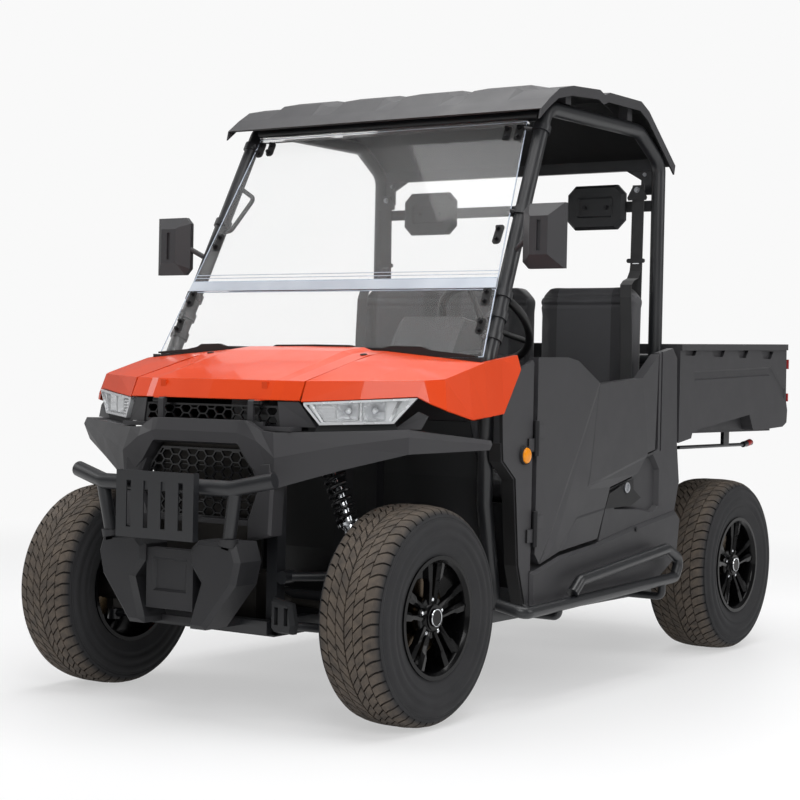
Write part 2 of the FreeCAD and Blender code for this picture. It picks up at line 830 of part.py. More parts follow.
def roll_cage():
    """Side hoops with cross tubes, gussets and belt plates; the hoops stand on the sills."""
    foot_z = rail_top + seat_gap
    knee = Vector(rear_pillar_x, rear_pillar_y, rail_top + rear_foot_rise)
    hoop = [Vector(sill_x, cab_front_y + rail_size, foot_z), pillar_knee, pillar_low, side_high, rear_high,
            rear_shoulder, knee]
    side = bent_tube(hoop, cage_radius, cage_bend)
    side = side.fuse(rod(knee, Vector(sill_x, rear_pillar_y, foot_z), cage_radius))
    top = side_high - Z * cage_radius
    top = along_line(pillar_low, side_high, (top.z - pillar_low.z) / (side_high.z - pillar_low.z))
    front_bar = rod(Vector(0, top.y, top.z), top, thin_bar_radius)
    share = (waist_z - dash_beam_drop - pillar_knee.z) / (pillar_low.z - pillar_knee.z)
    dash_end = along_line(pillar_knee, pillar_low, share)
    dash_bar = rod(Vector(0, dash_end.y, dash_end.z), dash_end, dash_beam_radius)
    rear_bar = block(0, rear_pillar_x, rear_pillar_y - beam_half / 2, rear_pillar_y + beam_half / 2,
                     rear_beam_z - beam_half, rear_beam_z + beam_half)
    waist_bar = rod(Vector(0, rear_pillar_y, waist_z + waist_bar_drop),
                    Vector(rear_pillar_x, rear_pillar_y, waist_z + waist_bar_drop), thin_bar_radius)
    low = rear_beam_z - beam_half
    gusset = front_prism([(rear_pillar_x - gusset_long, low), (rear_pillar_x, low),
                          (rear_pillar_x, low - gusset_tall), (rear_pillar_x - gusset_long / 2, low - gusset_tall / 2)],
                         rear_pillar_y - gusset_wall / 2, rear_pillar_y + gusset_wall / 2)
    plate = block(rear_pillar_x - belt_plate_wide - cage_radius, rear_pillar_x, rear_pillar_y - gusset_wall / 2,
                  rear_pillar_y + gusset_wall / 2, low - belt_plate_tall, low)
    half = fused([side, front_bar, dash_bar, rear_bar, waist_bar, gusset, plate])
    below = block(-body_x, body_x, cab_front_y - cage_bend, rear_pillar_y + cage_bend, 0, foot_z)
    return fused([half, mirrored(half)]).cut(below)


def grab_handle():
    """Bent grab handle inboard of the passenger's front pillar."""
    points = [along_line(pillar_low, side_high, share) for share in handle_shares]
    loop = [points[0], points[1] - X * handle_reach, points[2] - X * (handle_reach / 2), points[3]]
    tube = bent_tube(loop, handle_radius, handle_bend)
    return mirrored(tube.cut(rod(pillar_low, side_high, cage_radius + seat_gap)))


def headrests():
    """Chamfered pads with a sunk centre, bolted to a flat bar between the rear pillars."""
    level = roof_z - headrest_drop
    rear_y = rear_pillar_y + headbar_wall / 2
    front_y = rear_y - headbar_wall
    cut = headrest_tall / 5
    pads = []
    for side in (-1, 1):
        x0 = side * headrest_x - headrest_wide / 2
        x1 = side * headrest_x + headrest_wide / 2
        z0 = level - headrest_tall / 2
        z1 = level + headrest_tall / 2
        outline = [(x0 + cut, z0), (x1 - cut, z0), (x1, z0 + cut), (x1, z1 - cut), (x1 - cut, z1),
                   (x0 + cut, z1), (x0, z1 - cut), (x0, z0 + cut)]
        middle = front_y - headrest_wall / 2
        face = inset(outline, cut / 3)
        pads.append(front_prism(outline, middle, front_y))
        pad = frustum(at_front(outline, middle), at_front(face, front_y - headrest_wall))
        sunk = frustum(at_front(inset(face, cut), front_y - headrest_wall),
                       at_front(inset(face, cut * 1.2), front_y - headrest_wall * 0.7))
        pads.append(pad.cut(sunk))
    reach = rear_pillar_x - cage_radius - seat_gap
    bar = block(-reach, reach, front_y, rear_y, level - headbar_tall / 2, level + headbar_tall / 2)
    return fused(pads + [bar])


# Roof
roof_wall = 6
roof_side_inset = 45
roof_front_step = 162
roof_rear_step = 112
roof_fall = 198
roof_flange = 34
roof_flange_lean = 8
roof_shares = [(0, 0.581), (0.06, 0.36), (0.122, 0.172), (0.214, 0.066), (0.404, 0.005), (0.44, 0.07),
               (0.476, 0.005), (0.715, 0), (0.779, 0.141), (1, 1)]
plain_rows = (0, 1, 8, 9)
groove_row = 5
rib_centre_shares = (0.2, 0.62)
rib_top_share = 0.13
rib_foot_share = 0.17
rib_height = 14
roof_pad_shares = (0.24, 0.69)
roof_pad_half = 18
roof_half = body_x - roof_side_inset
roof_line = scaled(roof_shares, cab_front_y + roof_front_step,
                   cab_length - roof_front_step + roof_rear_step, roof_z, -roof_fall)
roof_crown = [point for index, point in enumerate(roof_line) if index != groove_row]


def roof():
    """Moulded roof with broad ribs along it and side flanges outboard of the hoops."""
    across = [(-1, 0)]
    for centre in sorted(rib_centre_shares + tuple(-c for c in rib_centre_shares)):
        across += [(centre - rib_foot_share, 0), (centre - rib_top_share, 1),
                   (centre + rib_top_share, 1), (centre + rib_foot_share, 0)]
    across += [(1, 0)]
    rows = []
    for index, (y, z) in enumerate(roof_line):
        crown_z = height_on(roof_crown, y)
        row = [Vector(-roof_half, y - roof_flange_lean, z - roof_flange)]
        for share, lift in across:
            level = z if abs(share) > rib_centre_shares[1] + rib_foot_share else crown_z
            rise = 0 if index in plain_rows else lift * rib_height
            row.append(Vector(share * roof_half, y, level + rise))
        rows.append(row + [Vector(roof_half, y - roof_flange_lean, z - roof_flange)])
    shapes = [faceted(rows, roof_wall)]
    pad_z = side_high.z + cage_radius + seat_gap
    for side in (-1, 1):
        for share in roof_pad_shares:
            x = side * side_high.x
            y = roof_line[0][0] + share * (roof_line[-1][0] - roof_line[0][0])
            shapes.append(block(x - roof_pad_half, x + roof_pad_half, y - roof_pad_half, y + roof_pad_half,
                                pad_z, height_on(roof_crown, y) - roof_wall / 2))
    return fused(shapes)


# Windscreen
screen_wall = 5
screen_low_inset = 37
screen_high_inset = 140
screen_low_step = 172
screen_low_drop = 10
screen_high_step = 241
screen_high_drop = 141
screen_mid_share = 0.3
rail_share = 0.02
lip_share = 0.012
screen_low = Vector(body_x - screen_low_inset, cab_front_y - screen_low_step, waist_z - screen_low_drop)
screen_high = Vector(body_x - screen_high_inset, cab_front_y + screen_high_step, roof_z - screen_high_drop)
screen_up = screen_high - screen_low
screen_normal = X.cross(Vector(0, screen_up.y, screen_up.z)).normalize()


def screen_point(side, share):
    point = along_line(screen_low, screen_high, share)
    return Vector(side * point.x, point.y, point.z)


def screen_pane(low, high, wall, lift):
    corners = [screen_point(-1, low), screen_point(1, low), screen_point(1, high), screen_point(-1, high)]
    corners = [c + screen_normal * lift for c in corners]
    return face_of(corners).extrude(screen_normal * wall)


def windscreen():
    """Lower and upper pane; the upper one has a lip folded forward along its top."""
    lip = screen_pane(1 - lip_share, 1, -screen_wall * 3, 0)
    upper = screen_pane(screen_mid_share + rail_share, 1, screen_wall, 0).fuse(lip).removeSplitter()
    return Part.makeCompound([screen_pane(0, screen_mid_share - rail_share, screen_wall, 0), upper])


clamp_shares = (0.09, 0.17, 0.25, 0.57, 0.91)
clamp_half = 13
clamp_wall = 6
clamp_arm_radius = 9
clamp_reach = 16
clamp_pad_half = 16
clamp_pad_wall = 7


def screen_clamps():
    """Collars on the front pillars whose arms and pads hold the panes."""
    axis = (side_high - pillar_low).normalize()
    pillar = rod(pillar_low, side_high, cage_radius + seat_gap)
    pane = screen_pane(-1, 2, screen_wall * 20, -seat_gap)
    clamps = []
    for share in clamp_shares:
        centre = along_line(pillar_low, side_high, share)
        collar = rod(centre - axis * clamp_half, centre + axis * clamp_half, cage_radius + clamp_wall)
        height = (centre.z - screen_low.z) / (screen_high.z - screen_low.z)
        edge = screen_point(1, height) - X * clamp_reach
        arm = rod(centre, edge + screen_normal * clamp_reach, clamp_arm_radius)
        clamps.append(collar.fuse(arm).cut(pillar).cut(pane))
    return both(Part.makeCompound(clamps))


def windscreen_rail():
    """Light metal rail between the lower and the upper pane."""
    gap = seat_gap / screen_up.Length
    return screen_pane(screen_mid_share - rail_share + gap, screen_mid_share + rail_share - gap,
                       screen_wall * 2, -screen_wall / 2)


# Bonnet
skin = 5
bonnet_shares = [(0.0143, 0.826), (0.0543, 0.894), (0.547, 0.993), (0.706, 1.0094)]
bonnet_seam_share = 0.476
bonnet_back_shares = (1, 0.7, 0.2, -0.3)
bonnet_back = 18
bonnet_lift_shares = (0, 0.15, 0.85, 1)
bonnet_lift = 14
bonnet_field_shares = (1, 0.8, 0.7, 0)
bonnet_drop = 30
bonnet_hinge_x = 190
bonnet_hinge_drop = 10
bonnet_pin = 5
bonnet_barrel = 9
barrel_length = 22
barrel_gap = 1
seam_x = bonnet_seam_share * body_x
bonnet_edge = seam_x
wing_x = seam_x + moving_gap
bonnet_line = nose_side(bonnet_shares)
bonnet_hinge_z = bonnet_line[0][1] - bonnet_hinge_drop


def bonnet_row(back, lift):
    """The bonnet's line in profile, its nose set back and its rear lifted."""
    (y0, z0), (y1, z1), (y2, z2), (y3, z3) = bonnet_line
    return [(y0 + back, z0), (y1 + back, z1), (y2, z2 + lift), (y3, z3 + lift)]


def bonnet_hinge(side):
    centre = Vector(side * bonnet_hinge_x, nose_y, bonnet_hinge_z)
    return hinge_pair(centre, X * side, bonnet_pin, bonnet_barrel, barrel_length)


def side_span(side, near, far):
    """The two ends of a span outboard of the centre plane, lowest first."""
    return sorted((side * near, side * far))


def bonnet():
    """Centre bonnet: raised field, side flanges and hinges under its nose."""
    half = []
    for field, back, lift in zip(bonnet_field_shares, bonnet_back_shares, bonnet_lift_shares):
        half.append((field * bonnet_edge, bonnet_row(back * bonnet_back, lift * bonnet_lift)))
    stations = [(-x, line) for x, line in half] + [(x, line) for x, line in half[-2::-1]]
    shapes = [side_panel(stations, skin)]
    edge_line = bonnet_row(bonnet_back, 0)
    outline = edge_line + [(y, z - bonnet_drop) for y, z in reversed(edge_line[1:])]
    bore_reach = X * (bonnet_hinge_x + overrun * 3)
    bore_centre = Vector(0, nose_y, bonnet_hinge_z)
    bore = rod(bore_centre - bore_reach, bore_centre + bore_reach, bonnet_pin + pin_gap)
    for side in (-1, 1):
        x0, x1 = side_span(side, bonnet_edge - skin, bonnet_edge)
        shapes.append(side_prism(outline, x0, x1))
        fixed, turning = bonnet_hinge(side)
        x0, x1 = side_span(side, bonnet_hinge_x + barrel_gap, bonnet_hinge_x + barrel_length)
        nose_lip_y = bonnet_line[1][0]
        strap = block(x0, x1, nose_y + bonnet_barrel / 2, nose_lip_y, bonnet_hinge_z,
                      bonnet_hinge_z + bonnet_barrel)
        riser = block(x0, x1, nose_lip_y - skin * 2, nose_lip_y, bonnet_hinge_z, bonnet_line[1][1] - skin)
        shapes += [turning, strap.cut(bore), riser]
    return fused(shapes)


# Side wings of the bonnet: shares across from the seam, along the nose and of the waist
wing_shares = {
    "a": [(0, 0.043, 0.8235), (0.418, 0.171, 0.835), (0.812, 0.3, 0.848), (0.834, 0.309, 0.846)],
    "b": [(0, 0.08, 0.894), (0.418, 0.2, 0.899), (0.834, 0.334, 0.9035), (0.906, 0.326, 0.826)],
    "c": [(0, 0.414, 0.967), (0.474, 0.414, 0.9435), (0.939, 0.414, 0.9106), (1.011, 0.377, 0.802)],
    "d": [(0, 0.58, 0.9965), (0.474, 0.58, 0.9765), (0.961, 0.58, 0.946), (1.0166, 0.58, 0.768)],
    "e": [(0, 0.703, 1.008), (0.474, 0.703, 0.9906), (0.972, 0.703, 0.972), (1.0166, 0.703, 0.7776),
          (0.9335, 0.703, 0.973)],
    "f": [(0.939, 0.84, 0.9894), (0.939, 0.84, 0.9894), (0.975, 0.84, 0.988), (1.0166, 0.84, 0.79)],
    "g": [(0.9446, 0.977, 1.0047), (0.9446, 0.977, 1.0047), (0.978, 0.977, 1.0035), (1.0166, 0.977, 0.9506)]}
wing_cells = [
    "a0 b0 b1 a1", "a1 b1 b2 a2", "a2 b2 b3 a3", "b0 c0 c1 b1", "b1 c1 c2 b2", "b2 c2 c3 b3",
    "c0 d0 d1 c1", "c1 d1 d2 c2", "c2 d2 d3 c3", "d0 e0 e1 d1", "d1 e1 e4 e2 d2", "d2 e2 e3 d3",
    "e4 f1 f2 e2", "e2 f2 f3 e3", "f1 g1 g2 f2", "f2 g2 g3 f3"]
wing_inward_share = 0.7
wing_rear_share = 0.8
wing_down_share = 0.5


def wing():
    """Painted wing outboard of the bonnet seam, with a folded shoulder and a rear horn."""
    points = {}
    for row, table in wing_shares.items():
        for column, (across, along, up) in enumerate(table):
            place = nose_point(0, along, up)
            points[row + str(column)] = Vector(wing_x + across * (body_x - wing_x), place.y, place.z)

    def behind(p):
        return Vector(max(p.x - wing_inward_share * skin, wing_x), p.y + wing_rear_share * skin,
                      p.z - wing_down_share * skin)

    return moulding(points, wing_cells, behind)


# Cowl under the bonnet
tray_front_share = 0.091
cowl_strip_front_share = 0.714
cowl_strip_rear_share = 0.757
strip_wall = 26
strip_margin = 9
tray_front_y = nose_y + tray_front_share * nose_length
cowl_strip_front_y = nose_y + cowl_strip_front_share * nose_length
cowl_strip_rear_y = nose_y + cowl_strip_rear_share * nose_length


def cowl_trim():
    """Black cradle under the bonnet and wings, with the strip at the windscreen foot."""
    x1 = wing_x + cab_wall
    floor_z = front_deck_z + half_rail + seat_gap
    floor = block(-x1, x1, tray_front_y, cowl_strip_rear_y, floor_z, floor_z + cab_wall)
    top = [(y, z - skin / 2) for y, z in bonnet_line[2:]]
    outline = [(cowl_strip_rear_y, floor_z), (tray_front_y, floor_z),
               (tray_front_y, height_on(bonnet_line, tray_front_y) - skin / 2)] + top
    outline += [(cowl_strip_rear_y, top[-1][1] - rail_size)]
    wall = side_prism(outline, wing_x, x1).cut(wing())
    wall = max(wall.Solids, key=lambda solid: solid.Volume)
    strip_x = screen_low.x + strip_margin
    strip = block(-strip_x, strip_x, cowl_strip_front_y, cowl_strip_rear_y, screen_low.z - strip_wall,
                  screen_low.z - seat_gap)
    strip = strip.cut(both(wing()))
    strip = max(strip.Solids, key=lambda solid: solid.Volume)
    return fused([floor, wall, mirrored(wall), strip])


# Headlamps
lamp_front_share = 0.046
lamp_run_share = 0.426
lamp_sweep_share = 0.246
lamp_shares = [(0, 0.8185), (1, 0.843), (0.8, 0.7518), (0.159, 0.7412)]
lamp_depth = 60
lamp_bezel = 7
lamp_pocket = 26
lens_wall = 3
lens_sink = 3
bowl_radius = 25
bowl_depth = 24
bowl_shares = (0.4, 0.63)
bowl_z_share = 0.793
lamp_foot = Vector(wing_x, nose_y + lamp_front_share * nose_length, 0)
lamp_run = Vector(lamp_run_share * body_x, lamp_sweep_share * nose_length, 0)
lamp_along = (lamp_run * 1).normalize()
lamp_outline = scaled(lamp_shares, 0, lamp_run.Length, base_z, waist_rise)


def lamp_slab(outline, front, depth):
    """Part of the lamp between two depths behind its outer plane."""
    back = lamp_along.cross(Z).normalize() * -1
    return tilted_slab(lamp_foot + back * front, lamp_along, outline, depth)


def headlamp():
    """Lamp housing with a bezel, a pocket and two round bowls."""
    back = lamp_along.cross(Z).normalize() * -1
    lamp = lamp_slab(lamp_outline, 0, lamp_depth)
    lamp = lamp.cut(lamp_slab(inset(lamp_outline, lamp_bezel), -overrun, lamp_pocket + overrun))
    for share in bowl_shares:
        mouth = lamp_foot + lamp_along * (share * lamp_run.Length) + Z * (base_z + bowl_z_share * waist_rise)
        cone = Part.makeCone(bowl_radius, bowl_radius / 3, bowl_depth, mouth + back * lamp_pocket, back)
        lamp = lamp.cut(cone)
    inboard = wing_x + cab_wall + seat_gap
    lamp = lamp.cut(block(0, inboard, nose_y, cab_front_y, 0, roof_z))
    return max(lamp.Solids, key=lambda solid: solid.Volume)


def lamp_lens():
    """Clear lens that sits in the bezel of each headlamp."""
    lens = lamp_slab(inset(lamp_outline, lamp_bezel + seat_gap), lens_sink, lens_wall)
    return lens.cut(block(0, wing_x + cab_wall + lamp_bezel, nose_y, cab_front_y, 0, roof_z))


# Front fascia: shares of the body's half width, the nose's length and the waist's height
fascia_wall = 5
fascia_columns = [
    [(0.2286, 0.0214, 0.7506), (0.2286, -0.057, 0.7506), (0.2314, -0.074, 0.708), (0.2314, -0.077, 0.6706),
     (0.2314, -0.0045, 0.6612)],
    [(0.2614, 0.0214, 0.7506), (0.2614, -0.054, 0.7506), (0.2543, -0.074, 0.7035), (0.2429, -0.076, 0.666),
     (0.2429, -0.0045, 0.659)],
    [(0.34, -0.0045, 0.7165), (0.34, -0.044, 0.7165), (0.337, -0.067, 0.68), (0.307, -0.071, 0.594),
     (0.307, -0.0045, 0.588)],
    [(0.407, -0.0045, 0.713), (0.404, -0.041, 0.713), (0.43, -0.064, 0.626), (0.423, -0.054, 0.5176),
     (0.374, -0.0045, 0.5176)],
    [(0.636, 0.171, 0.722), (0.663, 0.086, 0.722), (0.68, 0.071, 0.673), (0.671, 0.086, 0.588),
     (0.629, 0.136, 0.588)],
    [(0.857, 0.3, 0.733), (0.923, 0.216, 0.733), (0.931, 0.206, 0.708), (0.914, 0.229, 0.648),
     (0.871, 0.279, 0.648)],
    [(1, 0.643, 0.6965), (1.0586, 0.653, 0.694), (1.064, 0.653, 0.68), (1.054, 0.65, 0.66),
     (1, 0.629, 0.66)]]
leg_shares = [(0.294, 0.602), (0.34, 0.5176), (0.286, 0.4), (0.286, 0.329), (0.414, 0.353), (0.423, 0.5176),
              (0.414, 0.612)]
leg_front_share = -0.0643
leg_depth = 58
leg_bevel = 8
sill_bar_tall = 16
shelf_wall = 12
cheek_shares = [(0.373, 0.026, 0.82), (0.465, 0.053, 0.82), (0.532, 0.09, 0.7326), (0.388, 0.026, 0.7326)]
vent_shares = [(0.815, 0.262, 0.7318), (0.905, 0.31, 0.795), (0.94, 0.33, 0.78), (0.925, 0.3, 0.7338)]
vent_slot_count = 3
vent_slot = 4


def front_fascia():
    """Bumper band round the nose, legs beside the lower grille and the wheel flares."""
    half_rows = [[nose_point(*place) for place in column] for column in fascia_columns]
    rows = [[Vector(-p.x, p.y, p.z) for p in column] for column in reversed(half_rows)] + half_rows
    shapes = [faceted(rows, fascia_wall)]
    leg = scaled(leg_shares, 0, body_x, base_z, waist_rise)
    leg_y = nose_y + leg_front_share * nose_length
    bevel = frustum(at_front(leg, leg_y + leg_bevel), at_front(inset(leg, leg_bevel), leg_y))
    solid_leg = front_prism(leg, leg_y + leg_bevel, leg_y + leg_depth).fuse(bevel)
    foot_x, foot_z = leg[2]
    sill = block(0, foot_x + leg_bevel, leg_y + leg_bevel * 2, nose_y - moving_gap, foot_z - sill_bar_tall, foot_z)
    shelf_top = half_rows[0][0].z - fascia_wall / 2
    shelf = block(0, rail_x, nose_y - shelf_wall, nose_y - seat_gap, half_rows[0][4].z + fascia_wall / 2,
                  shelf_top)
    ledge_z = front_deck_z + half_rail + seat_gap
    ledge = block(0, wing_x - moving_gap, nose_y - shelf_wall, tray_front_y - overrun, ledge_z, ledge_z + shelf_wall)
    for part in (solid_leg, sill, shelf, ledge):
        shapes += [part, mirrored(part)]
    for side in (-1, 1):
        fixed, turning = bonnet_hinge(side)
        x0, x1 = side_span(side, bonnet_hinge_x - barrel_gap, bonnet_hinge_x - barrel_length)
        post = block(x0, x1, nose_y - bonnet_barrel, nose_y, ledge_z, bonnet_hinge_z)
        shapes += [fixed, post]
    return fused(shapes)


def lamp_surrounds():
    """Dark facets inboard of each lamp, and the slotted vent outboard of it."""
    pieces = []
    for table in (cheek_shares, vent_shares):
        points = {name: nose_point(*place) for name, place in zip("abcd", table)}
        pieces.append(moulding(points, ["a b c", "a c d"], lambda p: p + Y * skin))
    cheek, vent = pieces
    low = nose_point(*vent_shares[3]).z
    high = nose_point(*vent_shares[1]).z
    for index in range(vent_slot_count):
        z = along_line(Z * low, Z * high, (index + 1) / (vent_slot_count + 1)).z
        vent = vent.cut(block(vent.BoundBox.XMin + skin * 3, vent.BoundBox.XMax - skin * 2, nose_y,
                              vent.BoundBox.YMin + skin * 2, z - vent_slot / 2, z + vent_slot / 2))
    return Part.makeCompound([cheek, mirrored(cheek), vent, mirrored(vent)])


# Honeycomb grilles
grille_wall = 8
grille_rim = 6
cell_wide = 40
cell_tall = 27
cell_web = 4
cell_least_share = 0.12
slat_wall = 3
slat_depth = 16
slat_shares = (0.25, 0.5, 0.75)
upper_grille_shares = [(-0.388, 0.7325), (0.388, 0.7325), (0.371, 0.8047), (-0.371, 0.8047)]
lower_grille_shares = [(-0.277, 0.40035), (0.277, 0.40035), (0.33, 0.5176), (0.281, 0.592), (0.226, 0.648),
                       (-0.226, 0.648), (-0.281, 0.592), (-0.33, 0.5176)]
upper_grille_inset = 22
lower_grille_share = -0.0314


def clipped(cell, outline):
    """The part of a convex cell inside a convex outline, both listed anticlockwise."""
    for (ax, az), (bx, bz) in zip(outline, outline[1:] + outline[:1]):
        sides = [(bx - ax) * (z - az) - (bz - az) * (x - ax) for x, z in cell]
        kept = []
        for index, (x, z) in enumerate(cell):
            after = (index + 1) % len(cell)
            if sides[index] >= 0:
                kept.append((x, z))
            if sides[index] * sides[after] < 0:
                share = sides[index] / (sides[index] - sides[after])
                kept.append((x + (cell[after][0] - x) * share, z + (cell[after][1] - z) * share))
        cell = kept
    return cell


def area_of(outline):
    return sum(a[0] * b[1] - a[1] * b[0] for a, b in zip(outline, outline[1:] + outline[:1])) / 2


def honeycomb(outline, y):
    """A plate with rows of hexagonal cells, cut off where they meet its rim."""
    field = inset(outline, grille_rim)
    pitch_x = cell_wide * 3 / 4 + cell_web
    pitch_z = cell_tall + cell_web
    x_reach = max(x for x, z in outline)
    z_low = min(z for x, z in outline)
    z_high = max(z for x, z in outline)
    columns = int(x_reach / pitch_x) + 1
    wires = [Part.makePolygon(at_front(outline + outline[:1], y))]
    for column in range(-columns, columns + 1):
        for row in range(int((z_high - z_low) / pitch_z) + 2):
            x = column * pitch_x
            z = z_low + (row + (column % 2) / 2) * pitch_z
            cell = [(x + cell_wide / 2, z), (x + cell_wide / 4, z + cell_tall / 2),
                    (x - cell_wide / 4, z + cell_tall / 2), (x - cell_wide / 2, z),
                    (x - cell_wide / 4, z - cell_tall / 2), (x + cell_wide / 4, z - cell_tall / 2)]
            piece = clipped(cell, field)
            if len(piece) > 2 and area_of(piece) > cell_least_share * area_of(cell):
                wires.append(Part.makePolygon(at_front(piece + piece[:1], y)))
    plate = Part.makeFace(Part.makeCompound(wires), "Part::FaceMakerBullseye")
    return plate.extrude(Y * grille_wall)


def grilles():
    """Upper and lower honeycomb grille; thin slats stand behind the lower one."""
    upper = scaled(upper_grille_shares, 0, body_x, base_z, waist_rise)
    lower = scaled(lower_grille_shares, 0, body_x, base_z, waist_rise)
    lower_y = nose_y + lower_grille_share * nose_length
    plate = honeycomb(lower, lower_y)
    z_low = lower[0][1]
    z_high = lower[4][1]
    slats = []
    for share in slat_shares:
        z = z_low + share * (z_high - z_low)
        slats.append(block(-lower[0][0] * -1, lower[0][0] * -1, lower_y + grille_wall, lower_y + slat_depth,
                           z - slat_wall / 2, z + slat_wall / 2))
    return Part.makeCompound([honeycomb(upper, nose_y + upper_grille_inset), fused([plate] + slats)])


# Front guard, bumper bar and plate bracket
guard_reach = 176
guard_depth = 110
guard_bevel = 14
guard_shares = [(0.171, 0.336), (0.369, 0.336), (0.397, 0.27), (0.374, 0.188), (0.214, 0.025), (0.129, 0.025),
                (0.129, 0.047), (0.186, 0.188), (0.129, 0.247), (0.129, 0.306)]
pad_half = 92
pad_low_share = 0.082
pad_high_share = 0.294
pad_setback = 20
pad_wall = 40
pad_recess = 8
pad_rim = 26
lip_half = 150
lip_wall = 19
bar_radius = 24
post_radius = 20
collar_wall = 8
collar_height = 10
bar_end_x = 387
bar_bend_x = 250
bar_rise = 443
bar_end_lift = 30
bar_end_back = 30
bar_reach = 178
post_foot_x = 232
post_top_x = 262
post_foot_reach = 162
post_top_reach = 172
guard_front_y = nose_y - guard_reach
guard_outline = scaled(guard_shares, 0, body_x, base_z, waist_rise)
guard_top_z = guard_outline[0][1]
bar_z = base_z + bar_rise
bar_y = nose_y - bar_reach


def bumper_post(side, radius, lift):
    foot = Vector(side * post_foot_x, nose_y - post_foot_reach, guard_top_z)
    head = Vector(side * post_top_x, nose_y - post_top_reach, bar_z)
    return rod(foot + (head - foot).normalize() * lift, head, radius)


def front_guard():
    """Moulded guard round the feet of the bumper posts, with a sunk centre pad."""
    front = at_front(inset(guard_outline, guard_bevel), guard_front_y)
    side = front_prism(guard_outline, guard_front_y + guard_bevel, guard_front_y + guard_depth)
    side = side.fuse(frustum(at_front(guard_outline, guard_front_y + guard_bevel), front))
    pad_z0 = base_z + pad_low_share * waist_rise
    pad_z1 = base_z + pad_high_share * waist_rise
    pad_y = guard_front_y + pad_setback
    pad = block(-pad_half, pad_half, pad_y, pad_y + pad_wall, pad_z0, pad_z1)
    window = [(pad_rim - pad_half, pad_z0 + pad_rim * 2), (pad_half - pad_rim, pad_z0 + pad_rim * 2),
              (pad_half - pad_rim, pad_z1 - pad_rim), (pad_rim - pad_half, pad_z1 - pad_rim)]
    pad = pad.cut(frustum(at_front(window, pad_y), at_front(inset(window, pad_recess), pad_y + pad_recess)))
    lip_z = guard_outline[4][1]
    lip = block(-lip_half, lip_half, guard_front_y + guard_depth - overrun, nose_y - seat_gap, lip_z,
                lip_z + lip_wall)
    body = fused([side, mirrored(side), pad, lip])
    for mirror in (-1, 1):
        collar = bumper_post(mirror, post_radius + collar_wall, -collar_height)
        collar = collar.cut(bumper_post(mirror, post_radius + seat_gap, -collar_height * 2))
        body = body.cut(bumper_post(mirror, post_radius + seat_gap, -collar_height * 2))
        top = block(-body_x, body_x, guard_front_y - guard_depth, nose_y, guard_top_z + collar_height, roof_z)
        body = body.fuse(collar.cut(top))
    return body.removeSplitter()


def bumper_bar():
    """Bar across the nose on two posts that stand in the guard."""
    bar = bent_tube([Vector(-bar_end_x, bar_y + bar_end_back, bar_z + bar_end_lift),
                     Vector(-bar_bend_x, bar_y, bar_z), Vector(bar_bend_x, bar_y, bar_z),
                     Vector(bar_end_x, bar_y + bar_end_back, bar_z + bar_end_lift)],
                    bar_radius, bar_radius * 3)
    return fused([bar, bumper_post(-1, post_radius, 0), bumper_post(1, post_radius, 0)])


plate_x = 150
plate_wall = 4
plate_gap = 52
plate_tall = 200
plate_rise = 42
plate_slot_x = 18
plate_slot_count = 4
plate_slot_pitch = 68
plate_slot_margin = 30
plate_flange = 24
strap_tall = 26


def plate_bracket():
    """Folded sheet bracket with upright slots and side flanges."""
    front_y = bar_y - plate_gap
    high = bar_z + plate_rise
    low = high - plate_tall
    sheet = block(-plate_x, plate_x, front_y, front_y + plate_wall, low, high)
    for index in range(plate_slot_count):
        x = (index - (plate_slot_count - 1) / 2) * plate_slot_pitch
        sheet = sheet.cut(block(x - plate_slot_x / 2, x + plate_slot_x / 2, front_y - overrun,
                                front_y + overrun, low + plate_slot_margin, high - plate_slot_margin))
    flanges = [block(side * plate_x - plate_wall / 2, side * plate_x + plate_wall / 2, front_y,
                     front_y + plate_flange, low, high) for side in (-1, 1)]
    strap = block(-plate_x / 2, plate_x / 2, front_y + plate_wall, bar_y - bar_radius - seat_gap,
                  bar_z - strap_tall / 2, bar_z + strap_tall / 2)
    return fused([sheet] + flanges + [strap])


# Side panels of the body
panel_wall = 12
panel_gap = 24
rocker_depth = 62
rocker_bevel = 10
door_hinge_z_shares = (0.694, 0.353)
door_hinge_out = 6
door_hinge_gap = 12
door_pin = 5
door_barrel = 10
door_barrel_length = 42
hinge_leaf = 44
hinge_lift = 6
arch_shares = [(-0.103, 0.68), (-0.0975, 0.615), (-0.024, 0.546), (0.003, 0.2235), (0.046, 0.073)]
cowl_top_shares = [(-0.108, 0.782), (-0.0155, 0.948), (0.0656, 0.988), (0.0733, 0.976)]
arch_lip = 50
quarter_shares = [(0.5116, 0.2734), (0.556, 0.4035), (0.585, 0.48), (0.777, 0.527), (0.8504, 0.6106),
                  (0.9093, 0.6235), (0.9295, 0.6318), (0.9295, 1.035), (1.0328, 1.0588), (1.0666, 1.0176),
                  (1.08, 0.6494), (1.1023, 0.4859), (1.0685, 0.3628), (0.7143, 0.311)]
rocker_shares = [(0.0666, 0.1376), (0.0656, 0.1894), (0.111, 0.2), (0.248, 0.2388), (0.4903, 0.267),
                 (0.5116, 0.2729), (0.7143, 0.3106), (1.0685, 0.3624), (1.1, 0.3294), (1.0772, 0.1576),
                 (0.938, 0.0812), (0.17, 0.047), (0.0695, 0.0612)]
latch_shares = [(0.62, 0.395), (0.575, 0.475), (0.745, 0.52), (0.835, 0.6), (0.895, 0.61), (0.945, 0.545),
                (0.945, 0.39), (0.9, 0.365), (0.78, 0.385)]
latch_depth = 18
pillar_groove_share = 0.945
pillar_groove = 5
door_hinge_zs = [base_z + share * waist_rise for share in door_hinge_z_shares]
door_hinge_x = body_x + door_hinge_out
door_hinge_y = door_front_y - door_hinge_gap
panel_edge_y = door_front_y - panel_gap


